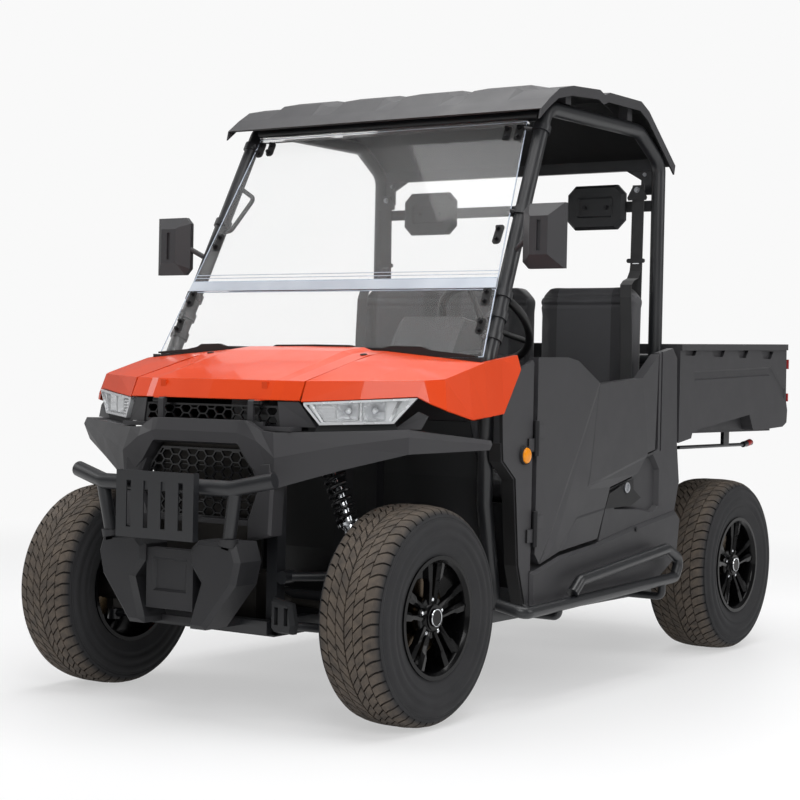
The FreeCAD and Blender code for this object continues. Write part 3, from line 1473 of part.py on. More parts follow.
def door_hinge(z):
    return hinge_pair(Vector(door_hinge_x, door_hinge_y, z), Z, door_pin, door_barrel, door_barrel_length)


def cowl_side_panels():
    """Black panels between the front arch and the door, with the lower half of each hinge."""
    arch = cab_side(arch_shares)
    low_z = base_z + rocker_shares[-1][1] * waist_rise
    rocker_front_y = cab_side(rocker_shares[1:2])[0][0]
    foot_z = rocker_shares[1][1] * waist_rise + base_z + moving_gap
    outline = cab_side(cowl_top_shares[:-1]) + [(panel_edge_y, cab_side(cowl_top_shares[-1:])[0][1])]
    outline += [(panel_edge_y, foot_z), (rocker_front_y - seat_gap, foot_z), (rocker_front_y - seat_gap, low_z)]
    outline += arch[::-1]
    panel = side_prism(outline, body_x - panel_wall, body_x - seat_gap)
    lip = Part.Face(skin_wire(at_side(arch, body_x - arch_lip), X, skin)).extrude(X * (arch_lip - panel_wall / 2))
    shapes = [panel, lip]
    for z in door_hinge_zs:
        fixed, turning = door_hinge(z)
        leaf = block(body_x - panel_wall / 2, body_x + hinge_lift, door_hinge_y - hinge_leaf, door_hinge_y,
                     z - door_barrel_length, z - seat_gap)
        shapes += [fixed, leaf]
    return both(fused(shapes))


def quarter_panels():
    """Panels behind the doors, with the sunk hand hold at the latch and the pillar groove."""
    panel = side_prism(cab_side(quarter_shares), body_x - panel_wall * 2, body_x)
    hold = cab_side(latch_shares)
    sunk = frustum(at_side(hold, body_x + seat_gap), at_side(inset(hold, latch_depth / 2), body_x - latch_depth))
    y = cab_front_y + pillar_groove_share * cab_length
    groove = block(body_x - pillar_groove, body_x + overrun, y, y + pillar_groove * 2,
                   base_z + quarter_shares[5][1] * waist_rise, waist_z + waist_rise)
    return both(panel.cut(sunk).cut(groove))


def rocker_panels():
    """Sill covers with bevelled edges, on a flange that lies on the sill tube."""
    outline = cab_side(rocker_shares)
    inner = body_x + panel_wall - rocker_depth
    outer = body_x + panel_wall
    solid = side_prism(outline, inner, outer - rocker_bevel)
    cap = frustum(at_side(outline, outer - rocker_bevel), at_side(inset(outline, rocker_bevel), outer))
    flange = block(sill_x - rail_size / 3, inner + skin, door_front_y - moving_gap,
                   rear_pillar_y - cage_radius * 2, rail_top + seat_gap, rail_top + skin + seat_gap)
    return both(fused([solid, cap, flange]))


# Doors: shares along the cab and of the waist, with the share of the fold each point stands out
door_wall = 34
door_out = 2
door_fold = 10
door_places = {
    "front_top": (0.0965, 0.9988, 0), "top_bend": (0.282, 1.0024, 0.15), "top_crease": (0.3456, 0.9906, 0.4),
    "dip": (0.4894, 0.9012, 0.9), "rail": (0.7954, 0.9282, 0.3), "rear_top": (0.9218, 1.0306, 0),
    "latch": (0.9015, 0.6306, 0.2), "latch_low": (0.8446, 0.6188, 0.5), "step": (0.7722, 0.5353, 0.5),
    "hold": (0.5772, 0.4882, 0.3), "hold_low": (0.5444, 0.4071, 0.3), "foot_rear": (0.4971, 0.2859, 0.1),
    "foot": (0.248, 0.2565, 0.2), "foot_front": (0.1255, 0.2165, 0), "front_low": (0.0965, 0.2565, 0),
    "front_mid": (0.0965, 0.62, 0), "ridge": (0.358, 0.6235, 1), "ridge_low": (0.2114, 0.29, 0.7),
    "crease": (0.4653, 0.5141, 0.9), "crease_low": (0.4266, 0.4859, 0.5), "shin": (0.3552, 0.3741, 0.3),
    "shin_low": (0.2539, 0.2718, 0.2)}
door_cells = [
    "front_top top_bend ridge front_mid", "top_bend top_crease ridge", "top_crease dip ridge",
    "front_mid ridge ridge_low front_low", "front_low ridge_low foot_front", "dip rail crease ridge",
    "rail rear_top latch", "rail latch latch_low", "rail latch_low crease", "latch_low step crease",
    "step hold crease", "crease hold crease_low", "hold hold_low crease_low", "ridge crease crease_low",
    "ridge crease_low shin ridge_low", "crease_low hold_low shin", "hold_low foot_rear shin",
    "shin foot_rear shin_low", "ridge_low shin shin_low foot", "ridge_low foot foot_front",
    "shin_low foot_rear foot"]


def door():
    """Half door with folded facets, and the upper half of each hinge."""
    x1 = body_x + door_out
    points = {}
    for name, (along, up, rise) in door_places.items():
        y, z = cab_side([(along, up)])[0]
        points[name] = Vector(x1 + rise * door_fold, y, z)
    shapes = [moulding(points, door_cells, lambda p: Vector(x1 - door_wall, p.y, p.z))]
    for z in door_hinge_zs:
        fixed, turning = door_hinge(z)
        leaf = block(body_x, body_x + hinge_lift, door_hinge_y, door_front_y + hinge_leaf, z + seat_gap,
                     z + door_barrel_length)
        bore = rod(Vector(door_hinge_x, door_hinge_y, z - overrun),
                   Vector(door_hinge_x, door_hinge_y, z + door_barrel_length + overrun), door_pin + pin_gap)
        shapes += [turning, leaf.cut(bore)]
    return fused(shapes)


# Cargo bed and tailgate: shares of the bed's length and of the waist's height
bed_floor_wall = 22
bed_side_wall = 60
bed_front_lip = 2
bed_side_shares = [(0, 1.0788), (1.0144, 1.1059), (1.0185, 0.8376), (1.035, 0.7882), (1.03, 0.7294),
                   (0.9887, 0.7094), (0.79, 0.6988), (0.12, 0.6988), (0.1088, 0.6706), (0, 0.6529)]
arch_open_shares = [(0.1, 0.64), (0.165, 0.708), (0.647, 0.769), (0.69, 0.69), (0.69, 0.64)]
arch_crease_shares = [(0.12, 0.64), (0.201, 0.762), (0.726, 0.821), (0.8, 0.735), (0.775, 0.64)]
arch_open_depth = 46
arch_bevel_depth = 20
band_shares = [(0.112, 0.9635), (0.83, 0.993), (0.858, 1), (1.01, 0.889), (1.008, 0.836), (0.841, 0.952),
               (0.13, 0.9224)]
band_depth = 6
bed_rail_tall = 24
bed_rail_out = 7
notch_shares = ((0.025, 0.151), (0.27, 0.403), (0.511, 0.623), (0.7515, 0.875))
notch_low_share = 1.031
notch_high_share = 1.068
notch_depth = 12
gate_wall = 28
gate_low_gap = 10
gate_top_drop = 10
gate_hinge_gap = 7
gate_hinge_drop = 6
gate_hinge_x = 430
gate_pin = 5
gate_barrel = 8
gate_barrel_length = 40
gate_field_inset = 50
gate_field_depth = 6
gate_handle_half = 70
gate_handle_tall = 34
bed_inner_x = body_x - bed_side_wall
bed_side_outline = scaled(bed_side_shares, bed_front_y, bed_length, base_z, waist_rise)
bed_top_z = bed_side_outline[0][1]
gate_hinge_y = bed_rear_y + gate_wall + gate_hinge_gap
gate_bottom = bed_floor_z + bed_floor_wall + gate_low_gap
gate_hinge_z = bed_floor_z + bed_floor_wall - gate_hinge_drop


def gate_hinge(side):
    centre = Vector(side * gate_hinge_x, gate_hinge_y, gate_hinge_z)
    return hinge_pair(centre, X * side, gate_pin, gate_barrel, gate_barrel_length)


def bed_side():
    """One side of the bed: top rail with notches under it, sunk band and open arch."""
    side = side_prism(bed_side_outline, bed_inner_x, body_x)
    rail = bed_side_outline[:2]
    rail_outline = rail + [(y, z - bed_rail_tall) for y, z in reversed(rail)]
    side = side.fuse(side_prism(rail_outline, bed_inner_x, body_x + bed_rail_out))
    band = scaled(band_shares, bed_front_y, bed_length, base_z, waist_rise)
    side = side.cut(frustum(at_side(band, body_x + seat_gap),
                            at_side(inset(band, band_depth), body_x - band_depth)))
    for start, end in notch_shares:
        notch = scaled([(start, notch_high_share), (end, notch_high_share), (end - 0.025, notch_low_share),
                        (start + 0.025, notch_low_share)], bed_front_y, bed_length, base_z, waist_rise)
        side = side.cut(side_prism(notch, body_x - notch_depth, body_x + seat_gap))
    opening = scaled(arch_open_shares, bed_front_y, bed_length, base_z, waist_rise)
    crease = scaled(arch_crease_shares, bed_front_y, bed_length, base_z, waist_rise)
    side = side.cut(side_prism(opening, body_x - arch_open_depth, body_x + overrun))
    side = side.cut(frustum(at_side(opening, body_x - arch_bevel_depth), at_side(crease, body_x + seat_gap)))
    return side


def cargo_bed():
    """Cargo box: floor, front wall and thick sides, with pivot lugs and tailgate hinges."""
    rear_y = bed_rear_y - bed_front_lip
    floor_top = bed_floor_z + bed_floor_wall
    half = [bed_side(), block(0, bed_inner_x, bed_front_y, rear_y, bed_floor_z, floor_top),
            block(0, bed_inner_x, bed_front_y, bed_front_y + bed_floor_wall, bed_floor_z, bed_top_z)]
    x0 = rail_x + ear_half + seat_gap
    lug = block(x0, x0 + pivot_lug_wall, pivot_y - guard_ear, pivot_y + guard_ear, pivot_z - guard_ear,
                bed_floor_z)
    hole = rod(Vector(x0 - overrun, pivot_y, pivot_z), Vector(x0 + pivot_lug_wall + overrun, pivot_y, pivot_z),
               pivot_pin_radius + pin_gap)
    half.append(lug.cut(hole))
    fixed, turning = gate_hinge(1)
    x0 = gate_hinge_x - gate_barrel_length
    x1 = gate_hinge_x - seat_gap
    half.append(fixed)
    half.append(block(x0, x1, rear_y - overrun, gate_hinge_y, gate_hinge_z - gate_barrel, gate_hinge_z))
    half.append(block(x0, x1, rear_y - overrun, rear_y, gate_hinge_z - gate_barrel, floor_top))
    return whole(half)


def tailgate():
    """Drop gate with a sunk outer field, a latch handle and its half of the hinges."""
    inner = bed_inner_x - moving_gap
    gate_top = bed_side_outline[1][1] - gate_top_drop
    rear_y = bed_rear_y + gate_wall
    panel = block(-inner, inner, bed_rear_y, rear_y, gate_bottom, gate_top)
    x0 = inner - gate_field_inset
    field = [(-x0, gate_bottom + gate_field_inset), (x0, gate_bottom + gate_field_inset),
             (x0, gate_top - gate_field_inset), (-x0, gate_top - gate_field_inset)]
    panel = panel.cut(frustum(at_front(field, rear_y + seat_gap),
                              at_front(inset(field, gate_field_depth), rear_y - gate_field_depth)))
    handle_z = gate_top - gate_field_inset
    handle = block(-gate_handle_half, gate_handle_half, rear_y - gate_field_depth * 2, rear_y,
                   handle_z - gate_handle_tall, handle_z)
    shapes = [panel, handle]
    for mirror in (-1, 1):
        fixed, turning = gate_hinge(mirror)
        x0, x1 = side_span(mirror, gate_hinge_x + seat_gap, gate_hinge_x + gate_barrel_length)
        strap = block(x0, x1, rear_y - skin, gate_hinge_y, gate_hinge_z, gate_bottom + gate_barrel * 2)
        bore = rod(Vector(x0 - overrun, gate_hinge_y, gate_hinge_z),
                   Vector(x1 + overrun, gate_hinge_y, gate_hinge_z), gate_pin + pin_gap)
        shapes += [turning, strap.cut(bore)]
    return fused(shapes)


tail_lamp_tall = 155
tail_lamp_wall = 18
tail_lamp_margin = 5
tail_lamp_rise_share = 0.853


def tail_lamps():
    """Upright red lamps on the rear ends of the bed sides."""
    low = base_z + tail_lamp_rise_share * waist_rise
    face_y = bed_side_outline[2][0]
    lamp = block(bed_inner_x + tail_lamp_margin, body_x - tail_lamp_margin, face_y - tail_lamp_wall / 2,
                 face_y + tail_lamp_wall / 2, low, low + tail_lamp_tall)
    return both(lamp.cut(side_prism(bed_side_outline, bed_inner_x, body_x)))


lever_x = 600
lever_drop = 55
lever_radius = 7
lever_grip_radius = 12
lever_grip_length = 75
lever_shares = (0.21, 0.82)
lever_bracket_share = 0.64
lever_bracket_half = 25


def bed_lever():
    """Tilt lever under the left side of the bed, with its bracket."""
    z = bed_floor_z - lever_drop
    start, end = [Vector(lever_x, bed_front_y + share * bed_length, z) for share in lever_shares]
    grip = rod(end, end + Y * lever_grip_length + Z * lever_radius, lever_grip_radius)
    y = bed_front_y + lever_bracket_share * bed_length
    bracket = block(lever_x - lever_radius, lever_x + lever_radius, y - lever_bracket_half,
                    y + lever_bracket_half, z, bed_floor_z - seat_gap)
    return fused([rod(start, end, lever_radius), grip, bracket])


# Steering wheel and column
wheel_x = 360
wheel_step = 324
wheel_rise = 114
wheel_radius = 162
grip_radius = 14
column_tilt = 42
column_radius = 22
column_length = 470
wheel_hub_radius = 38
wheel_hub_height = 40
spoke_drop = 15
spoke_radius = 10
wheel_spoke_angles = (90, 210, 330)
column_axis = Vector(0, cos(radians(column_tilt)), sin(radians(column_tilt)))
wheel_centre = Vector(wheel_x, cab_front_y + wheel_step, waist_z + wheel_rise)
column_top = wheel_centre - column_axis * (wheel_hub_height + seat_gap)
column_foot = column_top - column_axis * column_length


def steering_wheel():
    ring = Part.makeTorus(wheel_radius, grip_radius, wheel_centre, column_axis)
    shapes = [ring, rod(wheel_centre - column_axis * wheel_hub_height, wheel_centre, wheel_hub_radius)]
    up = column_axis.cross(X).normalize()
    for angle in wheel_spoke_angles:
        way = X * cos(radians(angle)) - up * sin(radians(angle))
        shapes.append(rod(wheel_centre - column_axis * spoke_drop, wheel_centre + way * wheel_radius,
                          spoke_radius))
    return fused(shapes)


# Dashboard and small controls
dash_shares = [(-0.0965, 1), (0.0386, 1.0212), (0.1448, 1), (0.1737, 0.9412), (0.1544, 0.8235),
               (0.0386, 0.7557), (-0.0965, 0.7557), (-0.0965, 0.95)]
dash_nose_share = 0.967
dash_inset = 10
pod_half = 125
pod_taper = 16
pod_shares = [(-0.085, 0.995), (-0.04, 1.09), (0, 1.147), (0.078, 1.135), (0.1, 1)]
pedal_xs = (300, 420)
pedal_half = 32
pedal_tall = 70
pedal_wall = 8
pedal_reach = 50
pedal_rise = 170
selector_x = 120
selector_radius = 7
selector_knob = 18
selector_length = 90


def dashboard():
    """Dash moulding across the cab, with the instrument pod ahead of the steering wheel."""
    outline = [(cowl_strip_rear_y + seat_gap, base_z + dash_nose_share * waist_rise)] + cab_side(dash_shares)
    solid = side_prism(outline, dash_inset - cab_x, cab_x - dash_inset)
    pod = cab_side(pod_shares)
    x0 = wheel_x - pod_half
    x1 = wheel_x + pod_half
    middle = side_prism(pod, x0 + pod_taper, x1 - pod_taper)
    ends = [frustum(at_side(pod, x0 + pod_taper), at_side(inset(pod, pod_taper / 2), x0)),
            frustum(at_side(pod, x1 - pod_taper), at_side(inset(pod, pod_taper / 2), x1))]
    solid = fused([solid, middle] + ends)
    return solid.cut(rod(column_foot - column_axis * overrun, column_top, column_radius + seat_gap))


def cab_controls():
    """Two pedals on the toe board and the drive selector at the dash."""
    pieces = []
    z = rail_top + pedal_rise
    toe_y = height_on([(v, u) for u, v in toe_line[1:3]], z)
    lean = (toe_line[1][0] - toe_line[2][0]) / (toe_line[2][1] - toe_line[1][1])
    y0 = toe_y + pedal_wall * lean + (cab_wall + seat_gap) * (1 + lean)
    for x in pedal_xs:
        stem = block(x - pedal_wall, x + pedal_wall, y0, y0 + pedal_reach, z - pedal_wall, z + pedal_wall)
        pad = block(x - pedal_half, x + pedal_half, y0 + pedal_reach - pedal_wall, y0 + pedal_reach,
                    z - pedal_tall, z + pedal_wall)
        pieces.append(fused([stem, pad]))
    high, low = at_side(cab_side(dash_shares[2:4]), selector_x)
    outward = X.cross(low - high).normalize()
    start = (high + low) / 2 + outward * seat_gap
    end = start + outward * selector_length
    knob = Part.makeSphere(selector_knob, end)
    pieces.append(rod(start, end, selector_radius).fuse(knob))
    return Part.makeCompound(pieces)


# Step bars
step_bar_x = 760
step_bar_radius = 19
step_stub_radius = 13
step_inset = 90
step_places = [(-0.0695, 0.0824), (-0.0531, 0.0565), (0.965, 0.0918), (1, 0.1647), (0.8977, 0.2188),
               (0.2896, 0.1459), (0.2413, 0.1)]
step_bend = 30
stub_shares = ((0.1544, 0.0635), (0.8687, 0.0882))


def step_bars():
    """Step bars beside the sills: a low rail with a raised loop at its rear."""
    path = cab_side(step_places)
    points = [Vector(step_bar_x - step_inset, *path[0])] + [Vector(step_bar_x, y, z) for y, z in path[1:]]
    shapes = [bent_tube(points, step_bar_radius, step_bend)]
    level = base_z + half_rail - door_out
    for y, z in cab_side(stub_shares):
        shapes.append(bent_tube([Vector(sill_x + half_rail + seat_gap, y, level), Vector(step_bar_x, y, level),
                                 Vector(step_bar_x, y, z)], step_stub_radius, step_bar_radius))
    return both(fused(shapes))


# Mirrors, indicators, belts and hitch
mirror_rise = 310
mirror_foot_rise = 330
mirror_wide = 150
mirror_tall = 205
mirror_wall = 34
mirror_chamfer = 22
mirror_inset_x = 10
mirror_face_share = 0.28
mirror_arm_radius = 9
mirror_step = 80
mirror_slot_half = 7


def mirrors():
    """Faceted mirror housings on short arms from the front pillars."""
    share = (waist_z + mirror_foot_rise - pillar_low.z) / (side_high.z - pillar_low.z)
    foot = along_line(pillar_low, side_high, share)
    x0 = body_x - mirror_inset_x
    x1 = x0 + mirror_wide
    z0 = waist_z + mirror_rise - mirror_wall
    z1 = z0 + mirror_tall
    y1 = foot.y - overrun
    outline = [(x0 + mirror_chamfer, z0), (x1, z0), (x1, z1), (x0 + mirror_chamfer, z1),
               (x0, z1 - mirror_chamfer), (x0, z0 + mirror_chamfer)]
    shell = front_prism(outline, y1 - mirror_wall / 2, y1)
    depth = mirror_face_share * mirror_wide
    facets = frustum(at_front(outline, y1 - mirror_wall / 2), at_front(inset(outline, depth), y1 - mirror_wall * 1.5))
    middle = (x0 + x1) / 2
    slot = block(middle - mirror_slot_half, middle + mirror_slot_half, y1 - mirror_wall * 2,
                 y1 - mirror_wall * 1.3, z0 + depth * 1.3, z1 - depth * 1.3)
    glass = front_prism(inset(outline, mirror_chamfer / 3), y1 - mirror_wall / 8, y1 + overrun)
    head = fused([shell, facets]).cut(slot).cut(glass)
    arm = rod(foot, Vector(x0 + mirror_chamfer, y1 - mirror_wall / 2, (z0 + z1) / 2), mirror_arm_radius)
    pillar = rod(pillar_low, side_high, cage_radius + seat_gap)
    return both(arm.cut(glass).fuse(head).cut(pillar))


indicator_radius = 18
indicator_wall = 12
indicator_share = (0.0241, 0.6318)


def side_indicators():
    y, z = cab_side([indicator_share])[0]
    return both(rod(Vector(body_x, y, z), Vector(body_x + indicator_wall, y, z), indicator_radius))


belt_wide = 48
belt_wall = 3
belt_foot_inset = 35
belt_top_inset = 74


def seat_belts():
    """Upper run of each belt, from the plate on the rear pillar down behind the backrest."""
    low = rail_top + bulkhead_rise - belt_wide / 2
    high = rear_beam_z - belt_plate_tall + cage_radius / 2
    x0 = body_x - belt_top_inset - belt_wide - rail_size
    x1 = body_x - belt_top_inset - cage_radius * 2
    outline = [(cab_x - belt_foot_inset, low), (cab_x - belt_foot_inset + belt_wide, low), (x1 + cage_radius / 3, high),
               (x1 + cage_radius / 3 - belt_wide, high)]
    y = cab_rear_y + cab_wall + seat_gap
    return both(front_prism(outline, y, y + belt_wall))


hitch_half = 32
hitch_wall = 55
hitch_length = 160
hitch_tail = 60
hitch_hole_radius = 10
hitch_hole_inset = 30


def tow_hitch():
    """Drawbar under the rear rails with the hole for the ball."""
    top = base_z - skid_wall - seat_gap
    rear_y = tail_y + hitch_tail
    bar = block(-hitch_half, hitch_half, rear_y - hitch_length, rear_y, top - hitch_wall, top)
    foot = Vector(0, rear_y - hitch_hole_inset, top - hitch_wall - overrun)
    return bar.cut(Part.makeCylinder(hitch_hole_radius, hitch_wall + 2 * overrun, foot))


parts = {
    "frame": frame(),
    "front_deck": front_deck(),
    "rear_deck": rear_deck(),
    "bed_rest_pads": rest_pads(),
    "skid_plates": Part.makeCompound([skid_plates(), arm_guards()]),
    "powertrain": powertrain(),
    "radiator": radiator(),
    "floor_tub": floor_tub(),
    "seat_cushion": seat_cushion(),
    "seat_back": seat_back(),
    "headrests": headrests(),
    "roll_cage": Part.makeCompound([roll_cage(), grab_handle()]),
    "roof": roof(),
    "windscreen": windscreen(),
    "windscreen_rail": windscreen_rail(),
    "screen_clamps": screen_clamps(),
    "bonnet": bonnet(),
    "bonnet_wings": both(wing()),
    "cowl_trim": cowl_trim(),
    "headlamps": both(headlamp()),
    "lamp_lenses": both(lamp_lens()),
    "front_fascia": Part.makeCompound([front_fascia(), lamp_surrounds()]),
    "grilles": grilles(),
    "front_guard": front_guard(),
    "bumper_bar": bumper_bar(),
    "plate_bracket": plate_bracket(),
    "cowl_side_panels": cowl_side_panels(),
    "quarter_panels": quarter_panels(),
    "rocker_panels": rocker_panels(),
    "door_left": door(),
    "door_right": mirrored(door()),
    "cargo_bed": cargo_bed(),
    "tailgate": tailgate(),
    "tail_lamps": tail_lamps(),
    "bed_lever": bed_lever(),
    "steering_wheel": steering_wheel(),
    "steering_column": rod(column_foot, column_top, column_radius),
    "dashboard": dashboard(),
    "cab_controls": cab_controls(),
    "step_bars": step_bars(),
    "mirrors": mirrors(),
    "side_indicators": side_indicators(),
    "seat_belts": seat_belts(),
    "tow_hitch": tow_hitch(),
    "tie_rods": tie_rods(),
    "rack_housing": rack_housing(),
    "knuckle_left": on_axle(knuckle(True), front_axle_y),
    "knuckle_right": mirrored(on_axle(knuckle(True), front_axle_y)),
    "rear_knuckles": both(on_axle(knuckle(False), rear_axle_y)),
    "suspension_arms": suspension_arms(),
    "shock_absorbers": shock_absorbers(),
    "half_shafts": half_shafts(),
}

for place, axle_y, width in (("front", front_axle_y, front_tyre_width), ("rear", rear_axle_y, rear_tyre_width)):
    for kind, shape in (("tyre_", tyre(width)), ("rim_", rim(width))):
        placed = on_axle(shape, axle_y)
        parts[kind + place + "_left"] = placed
        parts[kind + place + "_right"] = mirrored(placed)

os.makedirs("parts", exist_ok=True)
for name, shape in parts.items():
    shape.exportStep("parts/" + name + ".step")
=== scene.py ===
from math import cos, exp, pi, radians, sin

import bmesh
import bpy
from mathutils import Matrix, Vector


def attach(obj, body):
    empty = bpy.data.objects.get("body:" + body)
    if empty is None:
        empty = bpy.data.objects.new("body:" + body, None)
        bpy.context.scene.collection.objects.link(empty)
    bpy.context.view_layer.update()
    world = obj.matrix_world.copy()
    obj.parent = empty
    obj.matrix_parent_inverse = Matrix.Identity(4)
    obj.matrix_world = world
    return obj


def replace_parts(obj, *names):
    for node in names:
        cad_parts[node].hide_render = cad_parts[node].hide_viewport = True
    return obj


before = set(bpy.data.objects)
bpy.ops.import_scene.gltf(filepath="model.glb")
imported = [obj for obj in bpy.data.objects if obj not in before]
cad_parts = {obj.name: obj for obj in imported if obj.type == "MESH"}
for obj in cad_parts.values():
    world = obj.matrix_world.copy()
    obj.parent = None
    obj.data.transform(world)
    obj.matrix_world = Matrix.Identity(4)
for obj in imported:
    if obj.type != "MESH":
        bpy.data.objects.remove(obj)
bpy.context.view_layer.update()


# Studio: a pale floor, a low camera at the front left corner and soft lamps all round.
# The floor is seen by the camera as white paper and keeps the vehicle's shadow.
def linear(code):
    """An sRGB hex colour as linear RGBA."""
    values = [int(code[i:i + 2], 16) / 255 for i in (1, 3, 5)]
    return [v / 12.92 if v <= 0.04045 else ((v + 0.055) / 1.055) ** 2.4 for v in values] + [1]


def add(tree, kind, settings=None, **inputs):
    """A node with its settings, and its inputs as values or as sockets to link."""
    node = tree.nodes.new(kind)
    for key, value in (settings or {}).items():
        setattr(node, key, value)
    for key, value in inputs.items():
        socket = node.inputs[int(key[1:])] if key[0] == "_" else node.inputs[key.replace("_", " ")]
        if isinstance(value, bpy.types.NodeSocket):
            tree.links.new(value, socket)
        else:
            socket.default_value = value
    return node


def new_material(name, **values):
    """A material with one Principled shader; returns it, its node tree and the shader."""
    material = bpy.data.materials.new(name)
    material.use_nodes = True
    tree = material.node_tree
    shader = tree.nodes["Principled BSDF"]
    for key, value in values.items():
        shader.inputs[key.replace("_", " ")].default_value = value
    return material, tree, shader


def merged(tree, operation, sockets):
    """One socket from several, each joined to the next by the same operation."""
    result = sockets[0]
    for socket in sockets[1:]:
        result = add(tree, "ShaderNodeMath", {"operation": operation}, _0=result, _1=socket).outputs[0]
    return result


floor_size = 60
floor_colour = "#F3F3F4"
backdrop_colour = "#F9F9F9"
floor_near = 2.6
floor_far = 6.5
shade_lift = 0.52
floor_mesh = bpy.data.meshes.new("studio_floor")
half = floor_size / 2
floor_mesh.from_pydata([(-half, -half, 0), (half, -half, 0), (half, half, 0), (-half, half, 0)], [],
                       [(0, 1, 2, 3)])
floor = bpy.data.objects.new("studio_floor", floor_mesh)
bpy.context.collection.objects.link(floor)
paper, tree, shader = new_material("studio_paper", Roughness=0.42)
shader.inputs["Base Color"].default_value = linear(floor_colour)
place = add(tree, "ShaderNodeTexCoord").outputs["Object"]
away = add(tree, "ShaderNodeVectorMath", {"operation": "LENGTH"}, _0=place)
far = add(tree, "ShaderNodeMapRange", {"interpolation_type": "SMOOTHSTEP"}, Value=away.outputs["Value"],
          From_Min=floor_near, From_Max=floor_far, To_Min=shade_lift)
path = add(tree, "ShaderNodeLightPath")
looked = merged(tree, "MAXIMUM", [path.outputs["Is Camera Ray"], path.outputs["Is Transmission Ray"],
                                  path.outputs["Is Glossy Ray"]])
blend = merged(tree, "MULTIPLY", [far.outputs[0], looked])
glow = add(tree, "ShaderNodeEmission", None, Color=linear(backdrop_colour), Strength=1.0)
mixed = add(tree, "ShaderNodeMixShader", None, _0=blend, _1=shader.outputs[0], _2=glow.outputs[0])
tree.links.new(mixed.outputs[0], tree.nodes["Material Output"].inputs["Surface"])
floor_mesh.materials.append(paper)

camera_place = Vector((3.67, -5.615, 1.046))
camera_azimuth = radians(34.4)
camera_drop = radians(0.8)
camera_roll = radians(1.15)
camera_lens = 83.03
ahead = Vector((-sin(camera_azimuth) * cos(camera_drop), cos(camera_azimuth) * cos(camera_drop),
                -sin(camera_drop)))
level = Vector((cos(camera_azimuth), sin(camera_azimuth), 0))
upright = level.cross(ahead)
right = level * cos(camera_roll) + upright * sin(camera_roll)
up = upright * cos(camera_roll) - level * sin(camera_roll)
camera_data = bpy.data.cameras.new("studio_camera")
camera_data.sensor_width = 36
camera_data.lens = camera_lens
camera = bpy.data.objects.new("studio_camera", camera_data)
turn = Matrix((right, up, -ahead)).transposed().to_4x4()
camera.matrix_world = Matrix.Translation(camera_place) @ turn
bpy.context.collection.objects.link(camera)
scene = bpy.context.scene
scene.camera = camera
scene.view_settings.view_transform = "Standard"


def soft_lamp(name, place, target, size, power):
    """A square area lamp that faces a target."""
    data = bpy.data.lights.new(name, "AREA")
    data.size = size
    data.energy = power
    lamp = bpy.data.objects.new(name, data)
    lamp.location = place
    lamp.rotation_euler = (Vector(target) - Vector(place)).to_track_quat("-Z", "Y").to_euler()
    bpy.context.collection.objects.link(lamp)


soft_lamp("top_lamp", (0.0, 0.0, 6.0), (0, 0, 0), size=6.0, power=430)
soft_lamp("key_lamp", (4.5, -5.5, 5.0), (0, 0, 0.8), size=3.5, power=230)
soft_lamp("left_lamp", (6.5, 2.5, 3.5), (0, 0.3, 0.9), size=3.0, power=90)
soft_lamp("right_lamp", (-6.5, -2.0, 4.0), (0, 0, 0.8), size=3.0, power=90)
soft_lamp("rear_lamp", (-1.0, 7.0, 5.0), (0, 0, 1.0), size=3.5, power=100)

air_strength = 0.24
world = bpy.data.worlds.new("studio_air")
world.use_nodes = True
world_tree = world.node_tree
background = world_tree.nodes["Background"]
path = add(world_tree, "ShaderNodeLightPath")
seen = merged(world_tree, "MAXIMUM", [path.outputs["Is Camera Ray"], path.outputs["Is Transmission Ray"]])
strength = add(world_tree, "ShaderNodeMapRange", None, Value=seen, To_Min=air_strength, To_Max=1.0)
world_tree.links.new(strength.outputs[0], background.inputs["Strength"])
background.inputs["Color"].default_value = linear(backdrop_colour)
scene.world = world


# Chassis, cage and bars: welded steel tube under a satin black powder coat.
# The coat has a fine orange peel and shows the floor softly along each tube.
def dress(material, *nodes):
    """Puts a material on whole nodes of the frame."""
    for name in nodes:
        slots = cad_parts[name].data.materials
        if len(slots):
            for index in range(len(slots)):
                slots[index] = material
        else:
            slots.append(material)


def grained(tree, shader, grain, height, roughness, spread):
    """Grain of a real size in millimetres, as bump and as a spread of the roughness."""
    place = add(tree, "ShaderNodeTexCoord").outputs["Object"]
    noise = add(tree, "ShaderNodeTexNoise", None, Vector=place, Scale=1000 / grain, Detail=3.0)
    bump = add(tree, "ShaderNodeBump", None, Height=noise.outputs[0], Distance=height / 1000, Strength=0.6)
    tree.links.new(bump.outputs[0], shader.inputs["Normal"])
    broad = add(tree, "ShaderNodeTexNoise", None, Vector=place, Scale=9.0, Detail=5.0)
    rough = add(tree, "ShaderNodeMapRange", None, Value=broad.outputs[0], From_Min=0.3, From_Max=0.7,
                To_Min=roughness - spread, To_Max=roughness + spread)
    tree.links.new(rough.outputs[0], shader.inputs["Roughness"])
    return broad.outputs[0]


def two_tone(tree, shader, factor, low, high):
    """Base colour that runs between two hex colours."""
    mix = add(tree, "ShaderNodeMix", {"data_type": "RGBA"}, _0=factor, _6=linear(low), _7=linear(high))
    tree.links.new(mix.outputs[2], shader.inputs["Base Color"])


def finish(name, colours, grain, height, roughness, spread, **values):
    """A grained material whose base colour wanders between two hex colours."""
    material, tree, shader = new_material(name, **values)
    two_tone(tree, shader, grained(tree, shader, grain, height, roughness, spread), *colours)
    return material


